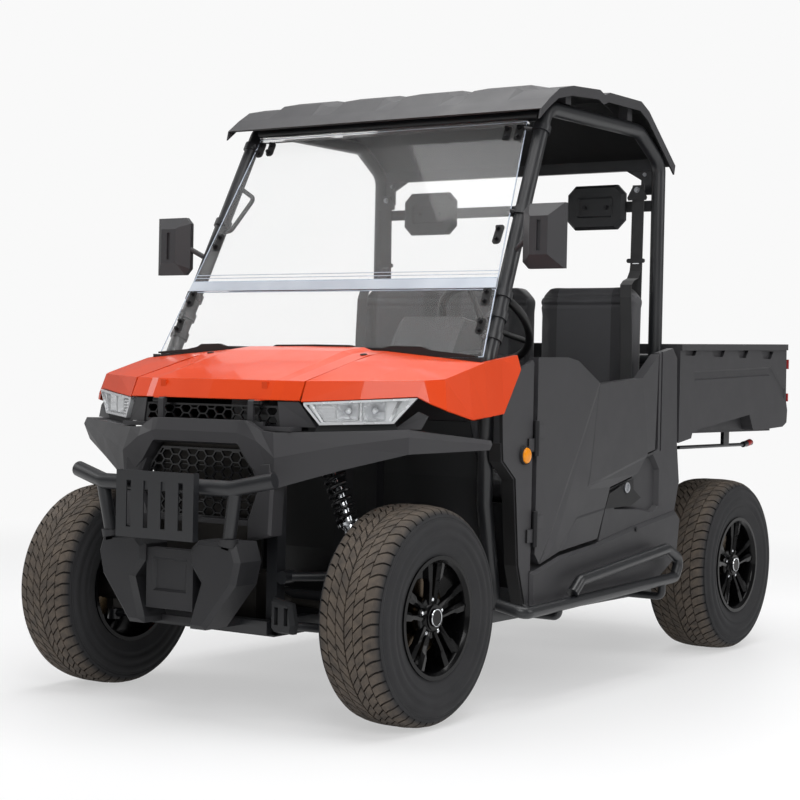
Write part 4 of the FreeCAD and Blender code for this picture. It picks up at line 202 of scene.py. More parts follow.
powder_coat = finish("powder_coated_steel", ("#17181A", "#232427"), grain=2.0, height=0.06,
                     roughness=0.36, spread=0.05)
dress(powder_coat, "frame", "front_deck", "rear_deck", "roll_cage", "step_bars", "bumper_bar",
      "plate_bracket", "screen_clamps", "tow_hitch", "bed_lever", "rack_housing", "suspension_arms",
      "cab_controls", "steering_column")


# Fasteners: zinc plated flange bolts, the same kind all over the vehicle.
# Each head is a washer face with a hexagon on it, set on its joint by a point and a direction.
def new_tree(name, **kinds):
    """A geometry tree with named inputs of the given kinds, and the node that gives them."""
    tree = bpy.data.node_groups.new(name, "GeometryNodeTree")
    tree.interface.new_socket("Geometry", in_out="INPUT", socket_type="NodeSocketGeometry")
    for key, kind in kinds.items():
        tree.interface.new_socket(key.replace("_", " "), in_out="INPUT", socket_type="NodeSocket" + kind)
    tree.interface.new_socket("Geometry", in_out="OUTPUT", socket_type="NodeSocketGeometry")
    return tree, add(tree, "NodeGroupInput")


def copied(tree, points, shape, turn, material):
    """Ends a tree with turned copies of a shape on its points, as one plain mesh of a material."""
    copies = add(tree, "GeometryNodeInstanceOnPoints", None, Points=points, Instance=shape, Rotation=turn)
    real = add(tree, "GeometryNodeRealizeInstances", None, Geometry=copies.outputs[0])
    coated = add(tree, "GeometryNodeSetMaterial", None, Geometry=real.outputs[0], Material=material)
    result = add(tree, "NodeGroupOutput")
    tree.links.new(coated.outputs[0], result.inputs[0])
    return tree


def fastener_tree(material):
    """Geometry nodes that set a bolt head on every point, turned along its direction."""
    tree, given = new_tree("flange_bolts", Head_Radius="Float", Head_Height="Float")
    radius = given.outputs["Head Radius"]
    height = given.outputs["Head Height"]
    washer_radius = add(tree, "ShaderNodeMath", {"operation": "MULTIPLY"}, _0=radius, _1=1.35)
    washer_height = add(tree, "ShaderNodeMath", {"operation": "MULTIPLY"}, _0=height, _1=0.6)
    washer = add(tree, "GeometryNodeMeshCylinder", None, Vertices=16, Radius=washer_radius.outputs[0],
                 Depth=washer_height.outputs[0])
    hexagon = add(tree, "GeometryNodeMeshCylinder", None, Vertices=6, Radius=radius, Depth=height)
    lift = add(tree, "ShaderNodeCombineXYZ", None, Z=height)
    raised = add(tree, "GeometryNodeTransform", None, Geometry=hexagon.outputs["Mesh"],
                 Translation=lift.outputs[0])
    head = add(tree, "GeometryNodeJoinGeometry")
    tree.links.new(washer.outputs["Mesh"], head.inputs[0])
    tree.links.new(raised.outputs["Geometry"], head.inputs[0])
    way = add(tree, "GeometryNodeInputNamedAttribute", {"data_type": "FLOAT_VECTOR"}, Name="out")
    turn = add(tree, "FunctionNodeAlignEulerToVector", {"axis": "Z"}, Vector=way.outputs["Attribute"])
    return copied(tree, given.outputs["Geometry"], head.outputs[0], turn.outputs[0], material)


def settled(piece):
    """Turns what a piece's modifiers make of it into its own plain mesh."""
    bpy.context.view_layer.update()
    mesh = bpy.data.meshes.new_from_object(piece.evaluated_get(bpy.context.evaluated_depsgraph_get()))
    piece.modifiers.clear()
    piece.data = mesh


def grown(piece, tree, **sizes):
    """Runs a tree on a piece with its named sizes and keeps the result as a plain mesh."""
    modifier = piece.modifiers.new("grown", "NODES")
    modifier.node_group = tree
    for socket in tree.interface.items_tree:
        key = socket.name.replace(" ", "_")
        if socket.in_out == "INPUT" and key in sizes:
            modifier[socket.identifier] = sizes[key]
    settled(piece)
    return piece


def new_object(name, mesh):
    """An object in the scene that holds a mesh."""
    piece = bpy.data.objects.new(name, mesh)
    bpy.context.collection.objects.link(piece)
    return piece


# Zinc plating is pale and a little uneven; black oxide is nearly as dark as the plastic round it.
zinc = finish("zinc_plated_steel", ("#8E9094", "#B4B6BA"), grain=1.2, height=0.05, roughness=0.34,
              spread=0.08, Metallic=1.0)
blackened = finish("black_oxide_steel", ("#1B1B1D", "#29292B"), grain=1.2, height=0.05, roughness=0.4,
                   spread=0.06, Metallic=0.6)
bolt_tree = fastener_tree(zinc)
black_bolt_tree = fastener_tree(blackened)


def bolts(name, body, places, radius, height, tree=bolt_tree):
    """Bolt heads at (place, outward direction) pairs, in metres, on one body."""
    mesh = bpy.data.meshes.new(name)
    mesh.from_pydata([tuple(at) for at, way in places], [], [])
    out = mesh.attributes.new("out", "FLOAT_VECTOR", "POINT")
    for index, (at, way) in enumerate(places):
        out.data[index].vector = way
    piece = grown(new_object(name, mesh), tree, Head_Radius=radius, Head_Height=height)
    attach(piece, body)


def mirror_pairs(places):
    """The same places on both sides of the vehicle."""
    return places + [((-x, y, z), (-u, v, w)) for (x, y, z), (u, v, w) in places]


cage_plate_y = 0.4836
cage_bolts = [((x, cage_plate_y, z), (0, -1, 0))
              for x, z in ((0.563, 1.797), (0.604, 1.797), (0.604, 1.737))]
bolts("cage_bolts", "chassis", mirror_pairs(cage_bolts), radius=0.0055, height=0.005)


# Suspension and axles: forged and cast parts, left in dark iron with a thin film of dust.
# The dampers are bright bodies inside black coil springs and show through the wheel arches.
iron = finish("cast_iron", ("#2C2B2A", "#4B4845"), grain=1.6, height=0.25, roughness=0.52, spread=0.08,
              Metallic=0.85)
dress(iron, "powertrain", "knuckle_left", "knuckle_right", "rear_knuckles", "half_shafts", "tie_rods",
      "radiator")


def joined(shapes):
    """Several (verts, faces) as one, with the index of each face's shape."""
    verts = []
    faces = []
    picks = []
    for index, (points, cells) in enumerate(shapes):
        start = len(verts)
        verts += points
        faces += [tuple(start + corner for corner in cell) for cell in cells]
        picks += [index] * len(cells)
    return verts, faces, picks


merge_reach = 0.00001
crease_angle = radians(34)


def meshed(name, shapes, materials=(), picks=None):
    """A mesh of several shapes, with merged doubles and outward faces."""
    verts, faces, owners = joined(shapes)
    mesh = bpy.data.meshes.new(name)
    mesh.from_pydata([tuple(v) for v in verts], [], faces)
    for material in materials:
        mesh.materials.append(material)
    if picks:
        mesh.polygons.foreach_set("material_index", [picks[owner] for owner in owners])
    sewn = bmesh.new()
    sewn.from_mesh(mesh)
    bmesh.ops.remove_doubles(sewn, verts=sewn.verts, dist=merge_reach)
    bmesh.ops.recalc_face_normals(sewn, faces=sewn.faces)
    sewn.to_mesh(mesh)
    sewn.free()
    return mesh


def surfaced(name, shapes, materials, body, smooth=True, picks=None):
    """A piece of several shapes on a body, shaded round or flat."""
    mesh = meshed(name, shapes, materials, picks)
    mesh.polygons.foreach_set("use_smooth", [smooth] * len(mesh.polygons))
    if smooth:
        mesh.set_sharp_from_angle(angle=crease_angle)
    piece = new_object(name, mesh)
    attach(piece, body)
    return piece


def turned(profile, centre, axis, steps, closed=False):
    """Verts and faces of a profile of (along, radius) pairs turned about an axis."""
    axis = Vector(axis).normalized()
    side = axis.orthogonal().normalized()
    other = axis.cross(side)
    verts = []
    for step in range(steps):
        angle = 2 * pi * step / steps
        way = side * cos(angle) + other * sin(angle)
        verts += [Vector(centre) + axis * along + way * radius for along, radius in profile]
    count = len(profile)
    faces = []
    for step in range(steps):
        ahead = (step + 1) % steps
        for index in range(count if closed else count - 1):
            after = (index + 1) % count
            faces.append((step * count + index, ahead * count + index, ahead * count + after,
                          step * count + after))
    return verts, faces


def bands(rings, count):
    """Faces between rings of as many points, one ring after the other."""
    faces = []
    for ring in range(rings - 1):
        start = ring * count
        ahead = start + count
        for index in range(count):
            after = (index + 1) % count
            faces.append((start + index, start + after, ahead + after, ahead + index))
    return faces


def tube(points, radius, sides):
    """Verts and faces of a round tube along a line of points."""
    points = [Vector(p) for p in points]
    count = len(points)
    verts = []
    side = None
    for index, point in enumerate(points):
        before = points[index - 1] if index else point
        after = points[index + 1] if index < count - 1 else point
        way = (after - before).normalized()
        side = way.orthogonal() if side is None else side - way * side.dot(way)
        side.normalize()
        other = way.cross(side)
        for step in range(sides):
            angle = 2 * pi * step / sides
            verts.append(point + (side * cos(angle) + other * sin(angle)) * radius)
    ends = [tuple(range(sides))[::-1], tuple(range((count - 1) * sides, count * sides))]
    return verts, bands(count, sides) + ends


def walled(front, back):
    """Verts and faces of a block between two outlines with as many corners."""
    count = len(front)
    faces = [tuple(range(count))[::-1], tuple(range(count, 2 * count))]
    faces += [(i, (i + 1) % count, count + (i + 1) % count, count + i) for i in range(count)]
    return front + back, faces


def plate(outline, origin, across, upward, wall):
    """Verts and faces of a flat plate: an outline in two directions, as thick as its wall."""
    across = Vector(across).normalized()
    upward = Vector(upward).normalized()
    out = across.cross(upward)
    front = [Vector(origin) + across * a + upward * b for a, b in outline]
    return walled(front, [place + out * wall for place in front])


def rounded(width, height, radius, steps=5):
    """Outline of a rectangle with round corners, about its middle."""
    places = []
    for quarter, (sx, sy) in enumerate(((1, 1), (-1, 1), (-1, -1), (1, -1))):
        for step in range(steps + 1):
            angle = pi / 2 * (quarter + step / steps)
            places.append((sx * (width / 2 - radius) + radius * cos(angle),
                           sy * (height / 2 - radius) + radius * sin(angle)))
    return places


# The wire is painted glossy black; the damper is hard chrome, the brightest part behind a wheel.
spring_black = finish("painted_spring_steel", ("#121214", "#1B1B1D"), grain=2.0, height=0.05,
                      roughness=0.3, spread=0.05)
damper_steel = finish("hard_chromed_steel", ("#A9ACB0", "#C9CCD0"), grain=0.8, height=0.02,
                      roughness=0.2, spread=0.06, Metallic=1.0)

half_wheelbase = 1.065
shock_head_x = 0.2663
shock_foot_x = 0.428
shock_foot_z = 0.4616
damper_radius = 0.02
spring_radius = 0.0305
spring_wire = 0.0055
spring_turns = 9
spring_span = (0.34, 0.86)
coil_steps = 18
shock_eye = [(-0.016, 0), (-0.016, 0.016), (-0.013, 0.018), (0.013, 0.018), (0.016, 0.016), (0.016, 0)]
shock_shapes = []
for axle_y, head_z in ((-half_wheelbase, 0.85), (half_wheelbase, 0.73)):
    for side in (-1, 1):
        head = Vector((side * shock_head_x, axle_y, head_z))
        foot = Vector((side * shock_foot_x, axle_y, shock_foot_z))
        run = head - foot
        way = run.normalized()
        length = run.length
        low = spring_span[0] * length
        high = spring_span[1] * length
        coil = []
        across = way.orthogonal().normalized()
        other = way.cross(across)
        for step in range(spring_turns * coil_steps + 1):
            angle = 2 * pi * step / coil_steps
            along = low + (high - low) * step / (spring_turns * coil_steps)
            coil.append(foot + way * along + (across * cos(angle) + other * sin(angle)) * spring_radius)
        body = [(0.05 * length, 0), (0.05 * length, damper_radius), (low - 0.02, damper_radius),
                (low - 0.02, damper_radius * 1.2), (low - 0.012, damper_radius * 1.2),
                (low - 0.012, 0.035), (low - 0.004, 0.036), (low - 0.004, damper_radius * 0.8),
                (0.6 * length, damper_radius * 0.8), (0.6 * length, 0.008), (high + 0.004, 0.008),
                (high + 0.004, 0.036), (high + 0.012, 0.034), (high + 0.016, 0.012), (0.97 * length, 0.012),
                (0.97 * length, 0)]
        shock_shapes.append(turned(body, foot, way, 28))
        shock_shapes.append(turned(shock_eye, foot, (0, 1, 0), 20))
        shock_shapes.append(turned(shock_eye, head, (0, 1, 0), 20))
        shock_shapes.append(tube(coil, spring_wire, 8))
shocks = surfaced("coil_over_shocks", shock_shapes, [damper_steel, spring_black], "chassis",
                  picks=[0, 0, 0, 1] * 4)
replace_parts(shocks, "shock_absorbers")


# Wheels: cast wheels under gloss black lacquer, with a plain steel ring on each centre cap.
# The brake disc behind the spokes has gone bronze with heat; the nuts are chrome plated.
tyre_radius = 0.33
tyre_outer_x = 0.72
bead_share = 0.07
disc_face_x = 0.6485
disc_edge = 0.1135


def from_axle(tree):
    """Distance from the nearer axle's centre line, in metres."""
    place = add(tree, "ShaderNodeTexCoord").outputs["Object"]
    parts = add(tree, "ShaderNodeSeparateXYZ", None, Vector=place)
    ahead = add(tree, "ShaderNodeMath", {"operation": "ABSOLUTE"}, _0=parts.outputs["Y"])
    ahead = add(tree, "ShaderNodeMath", {"operation": "SUBTRACT"}, _0=ahead.outputs[0], _1=half_wheelbase)
    above = add(tree, "ShaderNodeMath", {"operation": "SUBTRACT"}, _0=parts.outputs["Z"], _1=tyre_radius)
    flat = add(tree, "ShaderNodeCombineXYZ", None, Y=ahead.outputs[0], Z=above.outputs[0])
    reach = add(tree, "ShaderNodeVectorMath", {"operation": "LENGTH"}, _0=flat.outputs[0])
    out = add(tree, "ShaderNodeMath", {"operation": "ABSOLUTE"}, _0=parts.outputs["X"])
    return reach.outputs["Value"], out.outputs[0]


# The lacquer is a deep black with small sharp lights; on the disc it turns to dull bronze metal.
lacquer, tree, shader = new_material("gloss_black_wheel_lacquer", Specular_IOR_Level=0.12, Coat_Weight=0.14,
                                     Coat_Roughness=0.05)
grained(tree, shader, grain=3.0, height=0.04, roughness=0.24, spread=0.05)
reach, out = from_axle(tree)
inboard = add(tree, "ShaderNodeMath", {"operation": "LESS_THAN"}, _0=out, _1=disc_face_x)
within = add(tree, "ShaderNodeMath", {"operation": "LESS_THAN"}, _0=reach, _1=disc_edge)
disc = merged(tree, "MULTIPLY", [inboard.outputs[0], within.outputs[0]])
two_tone(tree, shader, disc, "#060607", "#4A3D2C")
tree.links.new(disc, shader.inputs["Metallic"])
# Chrome plating is the one true mirror on the wheel.
chrome = finish("chrome_plating", ("#C4C7CB", "#DADCDF"), grain=4.0, height=0.01, roughness=0.1,
                spread=0.03, Metallic=1.0)


def ring_tree():
    """Geometry nodes that repeat a pattern about the axle line, the same angle apart."""
    tree, given = new_tree("round_the_axle", Count="Int", Axle="Vector", Finish="Material")
    count = given.outputs["Count"]
    stations = add(tree, "GeometryNodeMeshLine", {"mode": "OFFSET"}, Count=count,
                   Start_Location=given.outputs["Axle"], Offset=(0, 0, 0))
    number = add(tree, "GeometryNodeInputIndex")
    step = add(tree, "ShaderNodeMath", {"operation": "DIVIDE"}, _0=2 * pi, _1=count)
    angle = add(tree, "ShaderNodeMath", {"operation": "MULTIPLY"}, _0=number.outputs[0], _1=step.outputs[0])
    turn = add(tree, "ShaderNodeCombineXYZ", None, X=angle.outputs[0])
    return copied(tree, stations.outputs["Mesh"], given.outputs["Geometry"], turn.outputs[0],
                  given.outputs["Finish"])


round_axle = ring_tree()
wheels = []
for axle_name, axle_y, tyre_width in (("front", -half_wheelbase, 0.235), ("rear", half_wheelbase, 0.26)):
    for side_name, side in (("left", 1), ("right", -1)):
        wheels.append((axle_name + "_" + side_name, axle_y, tyre_width, side))

rim_inset = 0.012
arm_count = 5
arm_edge = 0.0007
blade_stations = [(0.041, 0.0140, 0.0065, -0.0020), (0.056, 0.0165, 0.0068, 0.0),
                  (0.088, 0.0190, 0.0078, 0.0030), (0.106, 0.0210, 0.0088, 0.0048),
                  (0.117, 0.0245, 0.0128, 0.0060), (0.150, 0.0290, 0.0150, 0.0085),
                  (0.1655, 0.0315, 0.0165, 0.0088)]
blade_edge = [(-1, -0.0095), (-0.30, 0), (1, -0.0030), (0.85, -0.0260), (-0.75, -0.0260)]


def repeated(name, mesh, wheel, count, axle, material):
    """A pattern that goes round an axle, riding on its wheel."""
    piece = grown(new_object(name, mesh), round_axle, Count=count, Axle=axle, Finish=material)
    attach(piece, wheel)
    return piece


def rim_face(tyre_width):
    """How far out the outer face of a rim lies."""
    return tyre_outer_x - tyre_width * bead_share - rim_inset


def blade(face_x, side, hand):
    """One of the two blades of an arm that points up: a ridge between two facets, over a deep wall."""
    verts = []
    for reach, middle, half, rise in blade_stations:
        for share, depth in blade_edge:
            verts.append(Vector((side * (face_x + rise + depth), hand * (middle + share * half), reach)))
    count = len(blade_edge)
    ends = [tuple(range(count)), tuple(range(len(verts) - count, len(verts)))[::-1]]
    return verts, ends + bands(len(blade_stations), count)


def bevelled_arm(name, face_x, side):
    """Mesh of one arm: two blades with a deep web between them at the barrel, edges broken by 0.7 mm."""
    web = plate([(-0.028, 0.149), (0.028, 0.149), (0.028, 0.1655), (-0.028, 0.1655)],
                (side * (face_x - 0.010), 0, 0), (0, 1, 0), (0, 0, 1), -side * 0.010)
    verts, faces, owners = joined([blade(face_x, side, 1), blade(face_x, side, -1), web])
    mesh = bpy.data.meshes.new(name)
    mesh.from_pydata([tuple(v) for v in verts], [], faces)
    shaped = bmesh.new()
    shaped.from_mesh(mesh)
    bmesh.ops.bevel(shaped, geom=shaped.edges[:], offset=arm_edge, segments=2, affect="EDGES")
    bmesh.ops.recalc_face_normals(shaped, faces=shaped.faces)
    shaped.to_mesh(mesh)
    shaped.free()
    return mesh


def rim_outlines(tyre_width):
    """Barrel and hub of a cast wheel as closed outlines of (distance out, radius)."""
    face = rim_face(tyre_width)
    outer = face + rim_inset
    inner = tyre_outer_x - tyre_width * (1 - bead_share)
    back = face - 0.026
    barrel = [(outer + 0.006, 0.1717), (outer + 0.006, 0.184), (outer + 0.0003, 0.184),
              (outer + 0.0003, 0.1777), (outer - 0.020, 0.1777), (back, 0.1677), (inner + 0.010, 0.1677),
              (inner, 0.1777), (inner - 0.0003, 0.184), (inner - 0.006, 0.184), (inner - 0.006, 0.1717),
              (inner + 0.010, 0.1617), (back, 0.1617), (face + 0.006, 0.1617), (face + 0.0095, 0.1640)]
    hub = [(0.632, 0.0204), (0.632, 0.045), (0.641, 0.045), (0.641, 0.112), (0.647, 0.112), (0.647, 0.045),
           (back, 0.045), (back + 0.006, 0.0635), (face - 0.014, 0.0650), (face - 0.009, 0.0625),
           (face - 0.008, 0.0450), (face - 0.002, 0.0420), (face, 0.0395), (face, 0.038),
           (face + 0.0045, 0.038), (face + 0.005, 0.0375), (face + 0.005, 0.027), (face + 0.010, 0.027),
           (face + 0.0101, 0.0), (back - 0.0003, 0.0), (back - 0.0003, 0.0204)]
    return barrel, hub


for name, axle_y, tyre_width, side in wheels:
    wheel = "wheel_" + name
    axle = (0, axle_y, tyre_radius)
    out = (side, 0, 0)
    barrel, hub = rim_outlines(tyre_width)
    rim = [turned(barrel, axle, out, 96, closed=True), turned(hub, axle, out, 64, closed=True)]
    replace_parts(surfaced("wheel_barrel_" + name, rim, [lacquer], wheel), "rim_" + name)
    arm = bevelled_arm("wheel_arms_" + name, rim_face(tyre_width), side)
    repeated("wheel_arms_" + name, arm, wheel, arm_count, axle, lacquer)

nut_circle = 0.053
nut_profile = [(-0.014, 0.0), (-0.014, 0.0066), (-0.005, 0.0066), (-0.0035, 0.0052), (-0.0028, 0.003),
               (-0.0026, 0.0)]
cap_rise = 0.010
cap_ring = [(0.0, 0.0235), (0.0012, 0.0235), (0.0016, 0.0245), (0.0016, 0.026), (0.0, 0.0268)]
for name, axle_y, tyre_width, side in wheels:
    wheel = "wheel_" + name
    out = (side, 0, 0)
    face_x = rim_face(tyre_width)
    nut = meshed("wheel_nuts_" + name, [turned(nut_profile, (side * face_x, 0, nut_circle), out, 6)])
    repeated("wheel_nuts_" + name, nut, wheel, arm_count, (0, axle_y, tyre_radius), chrome)
    ring = turned(cap_ring, (side * (face_x + cap_rise), axle_y, tyre_radius), out, 48, closed=True)
    surfaced("cap_ring_" + name, [ring], [chrome], wheel)


# Tyres: moulded rubber carcass with ribbed sidewalls and a directional block tread.
# The block tops carry dry brown dust from gravel; the sidewalls stay darker.
tread_pitches = 56
tread_depth = 0.009
bead_radius = 0.178
wall_height = tyre_radius - bead_radius
side_shares = [(0.07, 0), (0.07, 0.059), (0.02, 0.26), (0, 0.45), (0.01, 0.66), (0.045, 0.84),
               (0.11, 0.935), (0.22, 0.98), (0.36, 1)]
dust_start = 0.306
dust_full = 0.324
dusty, tree, shader = new_material("dusty_tyre_rubber")
grained(tree, shader, grain=2.4, height=0.25, roughness=0.86, spread=0.06)
reach, out = from_axle(tree)
high = add(tree, "ShaderNodeMapRange", None, Value=reach, From_Min=dust_start, From_Max=dust_full)
place = add(tree, "ShaderNodeTexCoord").outputs["Object"]
patchy = add(tree, "ShaderNodeTexNoise", None, Vector=place, Scale=34.0, Detail=6.0)
cover = add(tree, "ShaderNodeMapRange", None, Value=patchy.outputs[0], From_Min=0.25, From_Max=0.7,
            To_Min=0.35)
dust = merged(tree, "MULTIPLY", [high.outputs[0], cover.outputs[0]])
two_tone(tree, shader, dust, "#222224", "#5E544A")


def crown_radius(x, width):
    """Outer radius of the tyre at a distance from its middle."""
    share = 0.5 - abs(x) / width
    for (u0, v0), (u1, v1) in zip(side_shares[3:], side_shares[4:]):
        if share <= u1:
            part = max(0.0, (share - u0) / (u1 - u0))
            return bead_radius + (v0 + (v1 - v0) * part) * wall_height
    return tyre_radius


def carcass(width):
    """Profile of the tyre below its tread, with three ribs on each sidewall."""
    bead = width * (0.5 - bead_share)
    wall = [(width / 2 - u * width, bead_radius + v * wall_height) for u, v in side_shares[1:6]]
    ribbed = wall[:2]
    for lower, upper in zip(wall[1:-1], wall[2:]):
        for share in (0.25, 0.35, 0.65, 0.75):
            x = lower[0] + (upper[0] - lower[0]) * share
            r = lower[1] + (upper[1] - lower[1]) * share
            ribbed.append((x - (0.0018 if share in (0.35, 0.65) else 0), r))
        ribbed.append(upper)
    crown = [(x, crown_radius(x, width) - tread_depth) for x in (bead, width * 0.36, width * 0.25, 0.0)]
    inner = [(0.0, 0.30), (width * 0.3, 0.29), (width / 2 - 0.016, 0.245), (bead - 0.016, 0.1782)]
    outer = [(bead, 0.1782)] + ribbed + crown
    far_side = [(-x, r) for x, r in reversed(outer[:-1])] + [(-x, r) for x, r in reversed(inner)]
    return outer + far_side + inner[1:]


tread_half_share = 0.39
tread_sweep = 2.4
tread_gap = 0.14
block_draft = 0.02
block_root = 0.004
shoulder_start = 1.05
shoulder_drop = 0.004
tread_blocks = [(0.0, (0.03, 0.12, 0.21, 0.31)), (0.45, (0.345, 0.45, 0.55, 0.655)),
                (0.0, (0.69, 0.78, 0.87, 0.96, 1.05, 1.14, 1.2))]


def swept(u):
    """How far a groove has run round the tyre, in pitches, at a share of the half tread."""
    return tread_sweep * (1 - max(0.0, 1 - u) ** 1.5)


def tread_pitch(width, side):
    """One pitch of the tread: curved blocks on both halves."""
    half_width = width * tread_half_share
    pitch = 2 * pi / tread_pitches
    shapes = []
    rows = []
    for offset, block in tread_blocks:
        line = [(u, offset + swept(u), offset + swept(u) + 1 - tread_gap) for u in block]
        rows.append(line)
        rows.append([(-u, start + 0.5, end + 0.5) for u, start, end in reversed(line)])
    for row in rows:
        verts = []
        for level in (0, 1):
            draft = 0.0 if level == 0 else block_draft
            for u, start, end in row:
                x = u * half_width
                top = crown_radius(x, width)
                depth = tread_depth + block_root if level == 0 else 0.0
                if abs(u) > shoulder_start:
                    depth = depth * 0.7 + shoulder_drop
                for v in (start + draft, end - draft):
                    angle = -v * pitch
                    verts.append((side * x, (top - depth) * cos(angle), (top - depth) * sin(angle)))
        count = len(row)
        faces = []
        for index in range(count - 1):
            a = 2 * index
            faces.append((a, a + 1, a + 3, a + 2))
            b = 2 * count + a
            faces.append((b, b + 2, b + 3, b + 1))
            faces.append((a, a + 2, b + 2, b))
            faces.append((a + 1, b + 1, b + 3, a + 3))
        faces.append((0, 2 * count, 2 * count + 1, 1))
        last = 2 * count - 2
        faces.append((last, last + 1, last + 1 + 2 * count, last + 2 * count))
        shapes.append((verts, faces))
    return shapes


for name, axle_y, tyre_width, side in wheels:
    middle = (side * (tyre_outer_x - tyre_width / 2), axle_y, tyre_radius)
    ring = turned(carcass(tyre_width), middle, (1, 0, 0), 132, closed=True)
    body = surfaced("tyre_carcass_" + name, [ring], [dusty], "wheel_" + name)
    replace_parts(body, "tyre_" + name)
    blocks = meshed("tyre_tread_" + name, tread_pitch(tyre_width, side))
    tread = repeated("tyre_tread_" + name, blocks, "wheel_" + name, tread_pitches, middle, dusty)


# Body trim, bed and roof: injection moulded polypropylene, charcoal, with a fine leather grain.
# The grain is drawn about twice as coarse as it is, because finer would not show at all.
plastic_grain = 2.2
charcoal_tones = ("#2A2A2C", "#343336")
plastic = finish("moulded_polypropylene", charcoal_tones, plastic_grain, height=0.3, roughness=0.56,
                 spread=0.06)
dress(plastic, "front_fascia", "quarter_panels", "rocker_panels", "cargo_bed", "tailgate", "mirrors",
      "dashboard")


def laid_over(material, mask, code):
    """Lays one hex colour over a material's own where the mask is 1."""
    tree = material.node_tree
    colour = tree.nodes["Principled BSDF"].inputs["Base Color"]
    mix = add(tree, "ShaderNodeMix", {"data_type": "RGBA"}, _0=mask, _6=colour.links[0].from_socket,
              _7=linear(code))
    tree.links.new(mix.outputs[2], colour)


def moulding_with_painted_shade(name, direction, limit):
    """Charcoal moulding with painted shade: near black on the faces that look one way, where shade falls.
    """
    material = finish(name, charcoal_tones, plastic_grain, height=0.3, roughness=0.56, spread=0.06)
    tree = material.node_tree
    facing = add(tree, "ShaderNodeTexCoord").outputs["Normal"]
    parts = add(tree, "ShaderNodeSeparateXYZ", None, Vector=facing)
    painted_shade_faces = add(tree, "ShaderNodeMath", {"operation": "LESS_THAN"}, _0=parts.outputs[direction], _1=limit)
    # Painted shade: the faces that look this way are laid near black.
    laid_over(material, painted_shade_faces.outputs[0], "#0B0B0C")
    return material


# Painted shade: the roof's downward faces and the forward faces of the cowl sides, in the wheel arches, are
# near black.
dress(moulding_with_painted_shade("moulding_with_black_underside", "Z", -0.2), "roof")
dress(moulding_with_painted_shade("moulding_with_arch_liner", "Y", -0.5), "cowl_side_panels")

# The darker mouldings step down from black trim to the guard, whose extra darkness is painted shade on the
# low front; the grilles are glossier than both.
black_plastic = finish("black_polypropylene", ("#191A1C", "#242527"), plastic_grain, height=0.3,
                       roughness=0.6, spread=0.06)
dress(black_plastic, "cowl_trim", "floor_tub", "skid_plates", "headrests")
guard_plastic_painted_shade = finish("unpainted_lower_moulding", ("#17171A", "#1F1F22"), plastic_grain, height=0.3,
                        roughness=0.58, spread=0.06)
dress(guard_plastic_painted_shade, "front_guard")
gloss_plastic = finish("gloss_black_abs", ("#101012", "#1A1A1C"), grain=3.0, height=0.03,
                       roughness=0.24, spread=0.05)
dress(gloss_plastic, "grilles")
# Rubber is the dullest black of all, with hardly any light on it.
rubber = finish("moulded_rubber", ("#141415", "#1E1E1F"), grain=1.5, height=0.1, roughness=0.72,
                spread=0.05)
dress(rubber, "bed_rest_pads")


# Ribs of the bed's floor: long low ribs, moulded in one with it.
# They run lengthwise with sloping sides, so that a load slides in and water drains.
bed_floor_top = 0.867
bed_rib_start = 0.60
bed_rib_end = 1.485
bed_rib_half = 0.026
bed_rib_rise = 0.005
bed_rib_slope = 0.008
bed_rib_places = [-0.56 + 0.14 * index for index in range(9)]


def bed_rib_outline(x, inset, height):
    """The rib's outline, seen from above, some way in from its foot."""
    low_x = x - bed_rib_half + inset
    high_x = x + bed_rib_half - inset
    start = bed_rib_start + inset
    end = bed_rib_end - inset
    return [Vector((low_x, start, height)), Vector((high_x, start, height)), Vector((high_x, end, height)),
            Vector((low_x, end, height))]


ribs = [walled(bed_rib_outline(x, 0, bed_floor_top - 0.001),
               bed_rib_outline(x, bed_rib_slope, bed_floor_top + bed_rib_rise)) for x in bed_rib_places]
surfaced("bed_floor_ribs", ribs, [plastic], "bed", smooth=False)


# Doors: one charcoal moulding each, with low folds that run over its skin.
# Each panel between folds stands a little higher than the next, as a soft step.
fold_half = 0.005
fold_rise = 0.004
door_panels = [[((-0.475, 0.440), (-0.105, 1.020))],
               [((-0.164, 0.684), (0.317, 0.784)), ((-0.105, 1.020), (-0.164, 0.684))],
               [((-0.041, 0.602), (-0.2345, 0.5812)), ((-0.2345, 0.5812), (-0.346, 0.474))]]


def beside(tree, start, end):
    """A soft step across a line in the side view, high on the line's left."""
    way = (Vector(end) - Vector(start)).normalized()
    place = add(tree, "ShaderNodeTexCoord").outputs["Object"]
    across = add(tree, "ShaderNodeVectorMath", {"operation": "SUBTRACT"}, _0=place, _1=(0, *start))
    reach = add(tree, "ShaderNodeVectorMath", {"operation": "DOT_PRODUCT"}, _0=across.outputs[0],
                _1=(0, -way.y, way.x))
    step = add(tree, "ShaderNodeMapRange", {"interpolation_type": "SMOOTHSTEP"},
               Value=reach.outputs["Value"], From_Min=-fold_half, From_Max=fold_half)
    return step.outputs[0]


# The door is the same charcoal plastic, moulded a little smoother than the trim.
door_skin = finish("folded_door_moulding", charcoal_tones, plastic_grain, height=0.3, roughness=0.5,
                   spread=0.06)
tree = door_skin.node_tree
panels = [merged(tree, "MULTIPLY", [beside(tree, start, end) for start, end in lines])
          for lines in door_panels]
normal = tree.nodes["Principled BSDF"].inputs["Normal"]
fold = add(tree, "ShaderNodeBump", None, Height=merged(tree, "MAXIMUM", panels), Distance=fold_rise,
           Strength=1.0, Normal=normal.links[0].from_socket)
tree.links.new(fold.outputs[0], normal)
dress(door_skin, "door_left", "door_right")
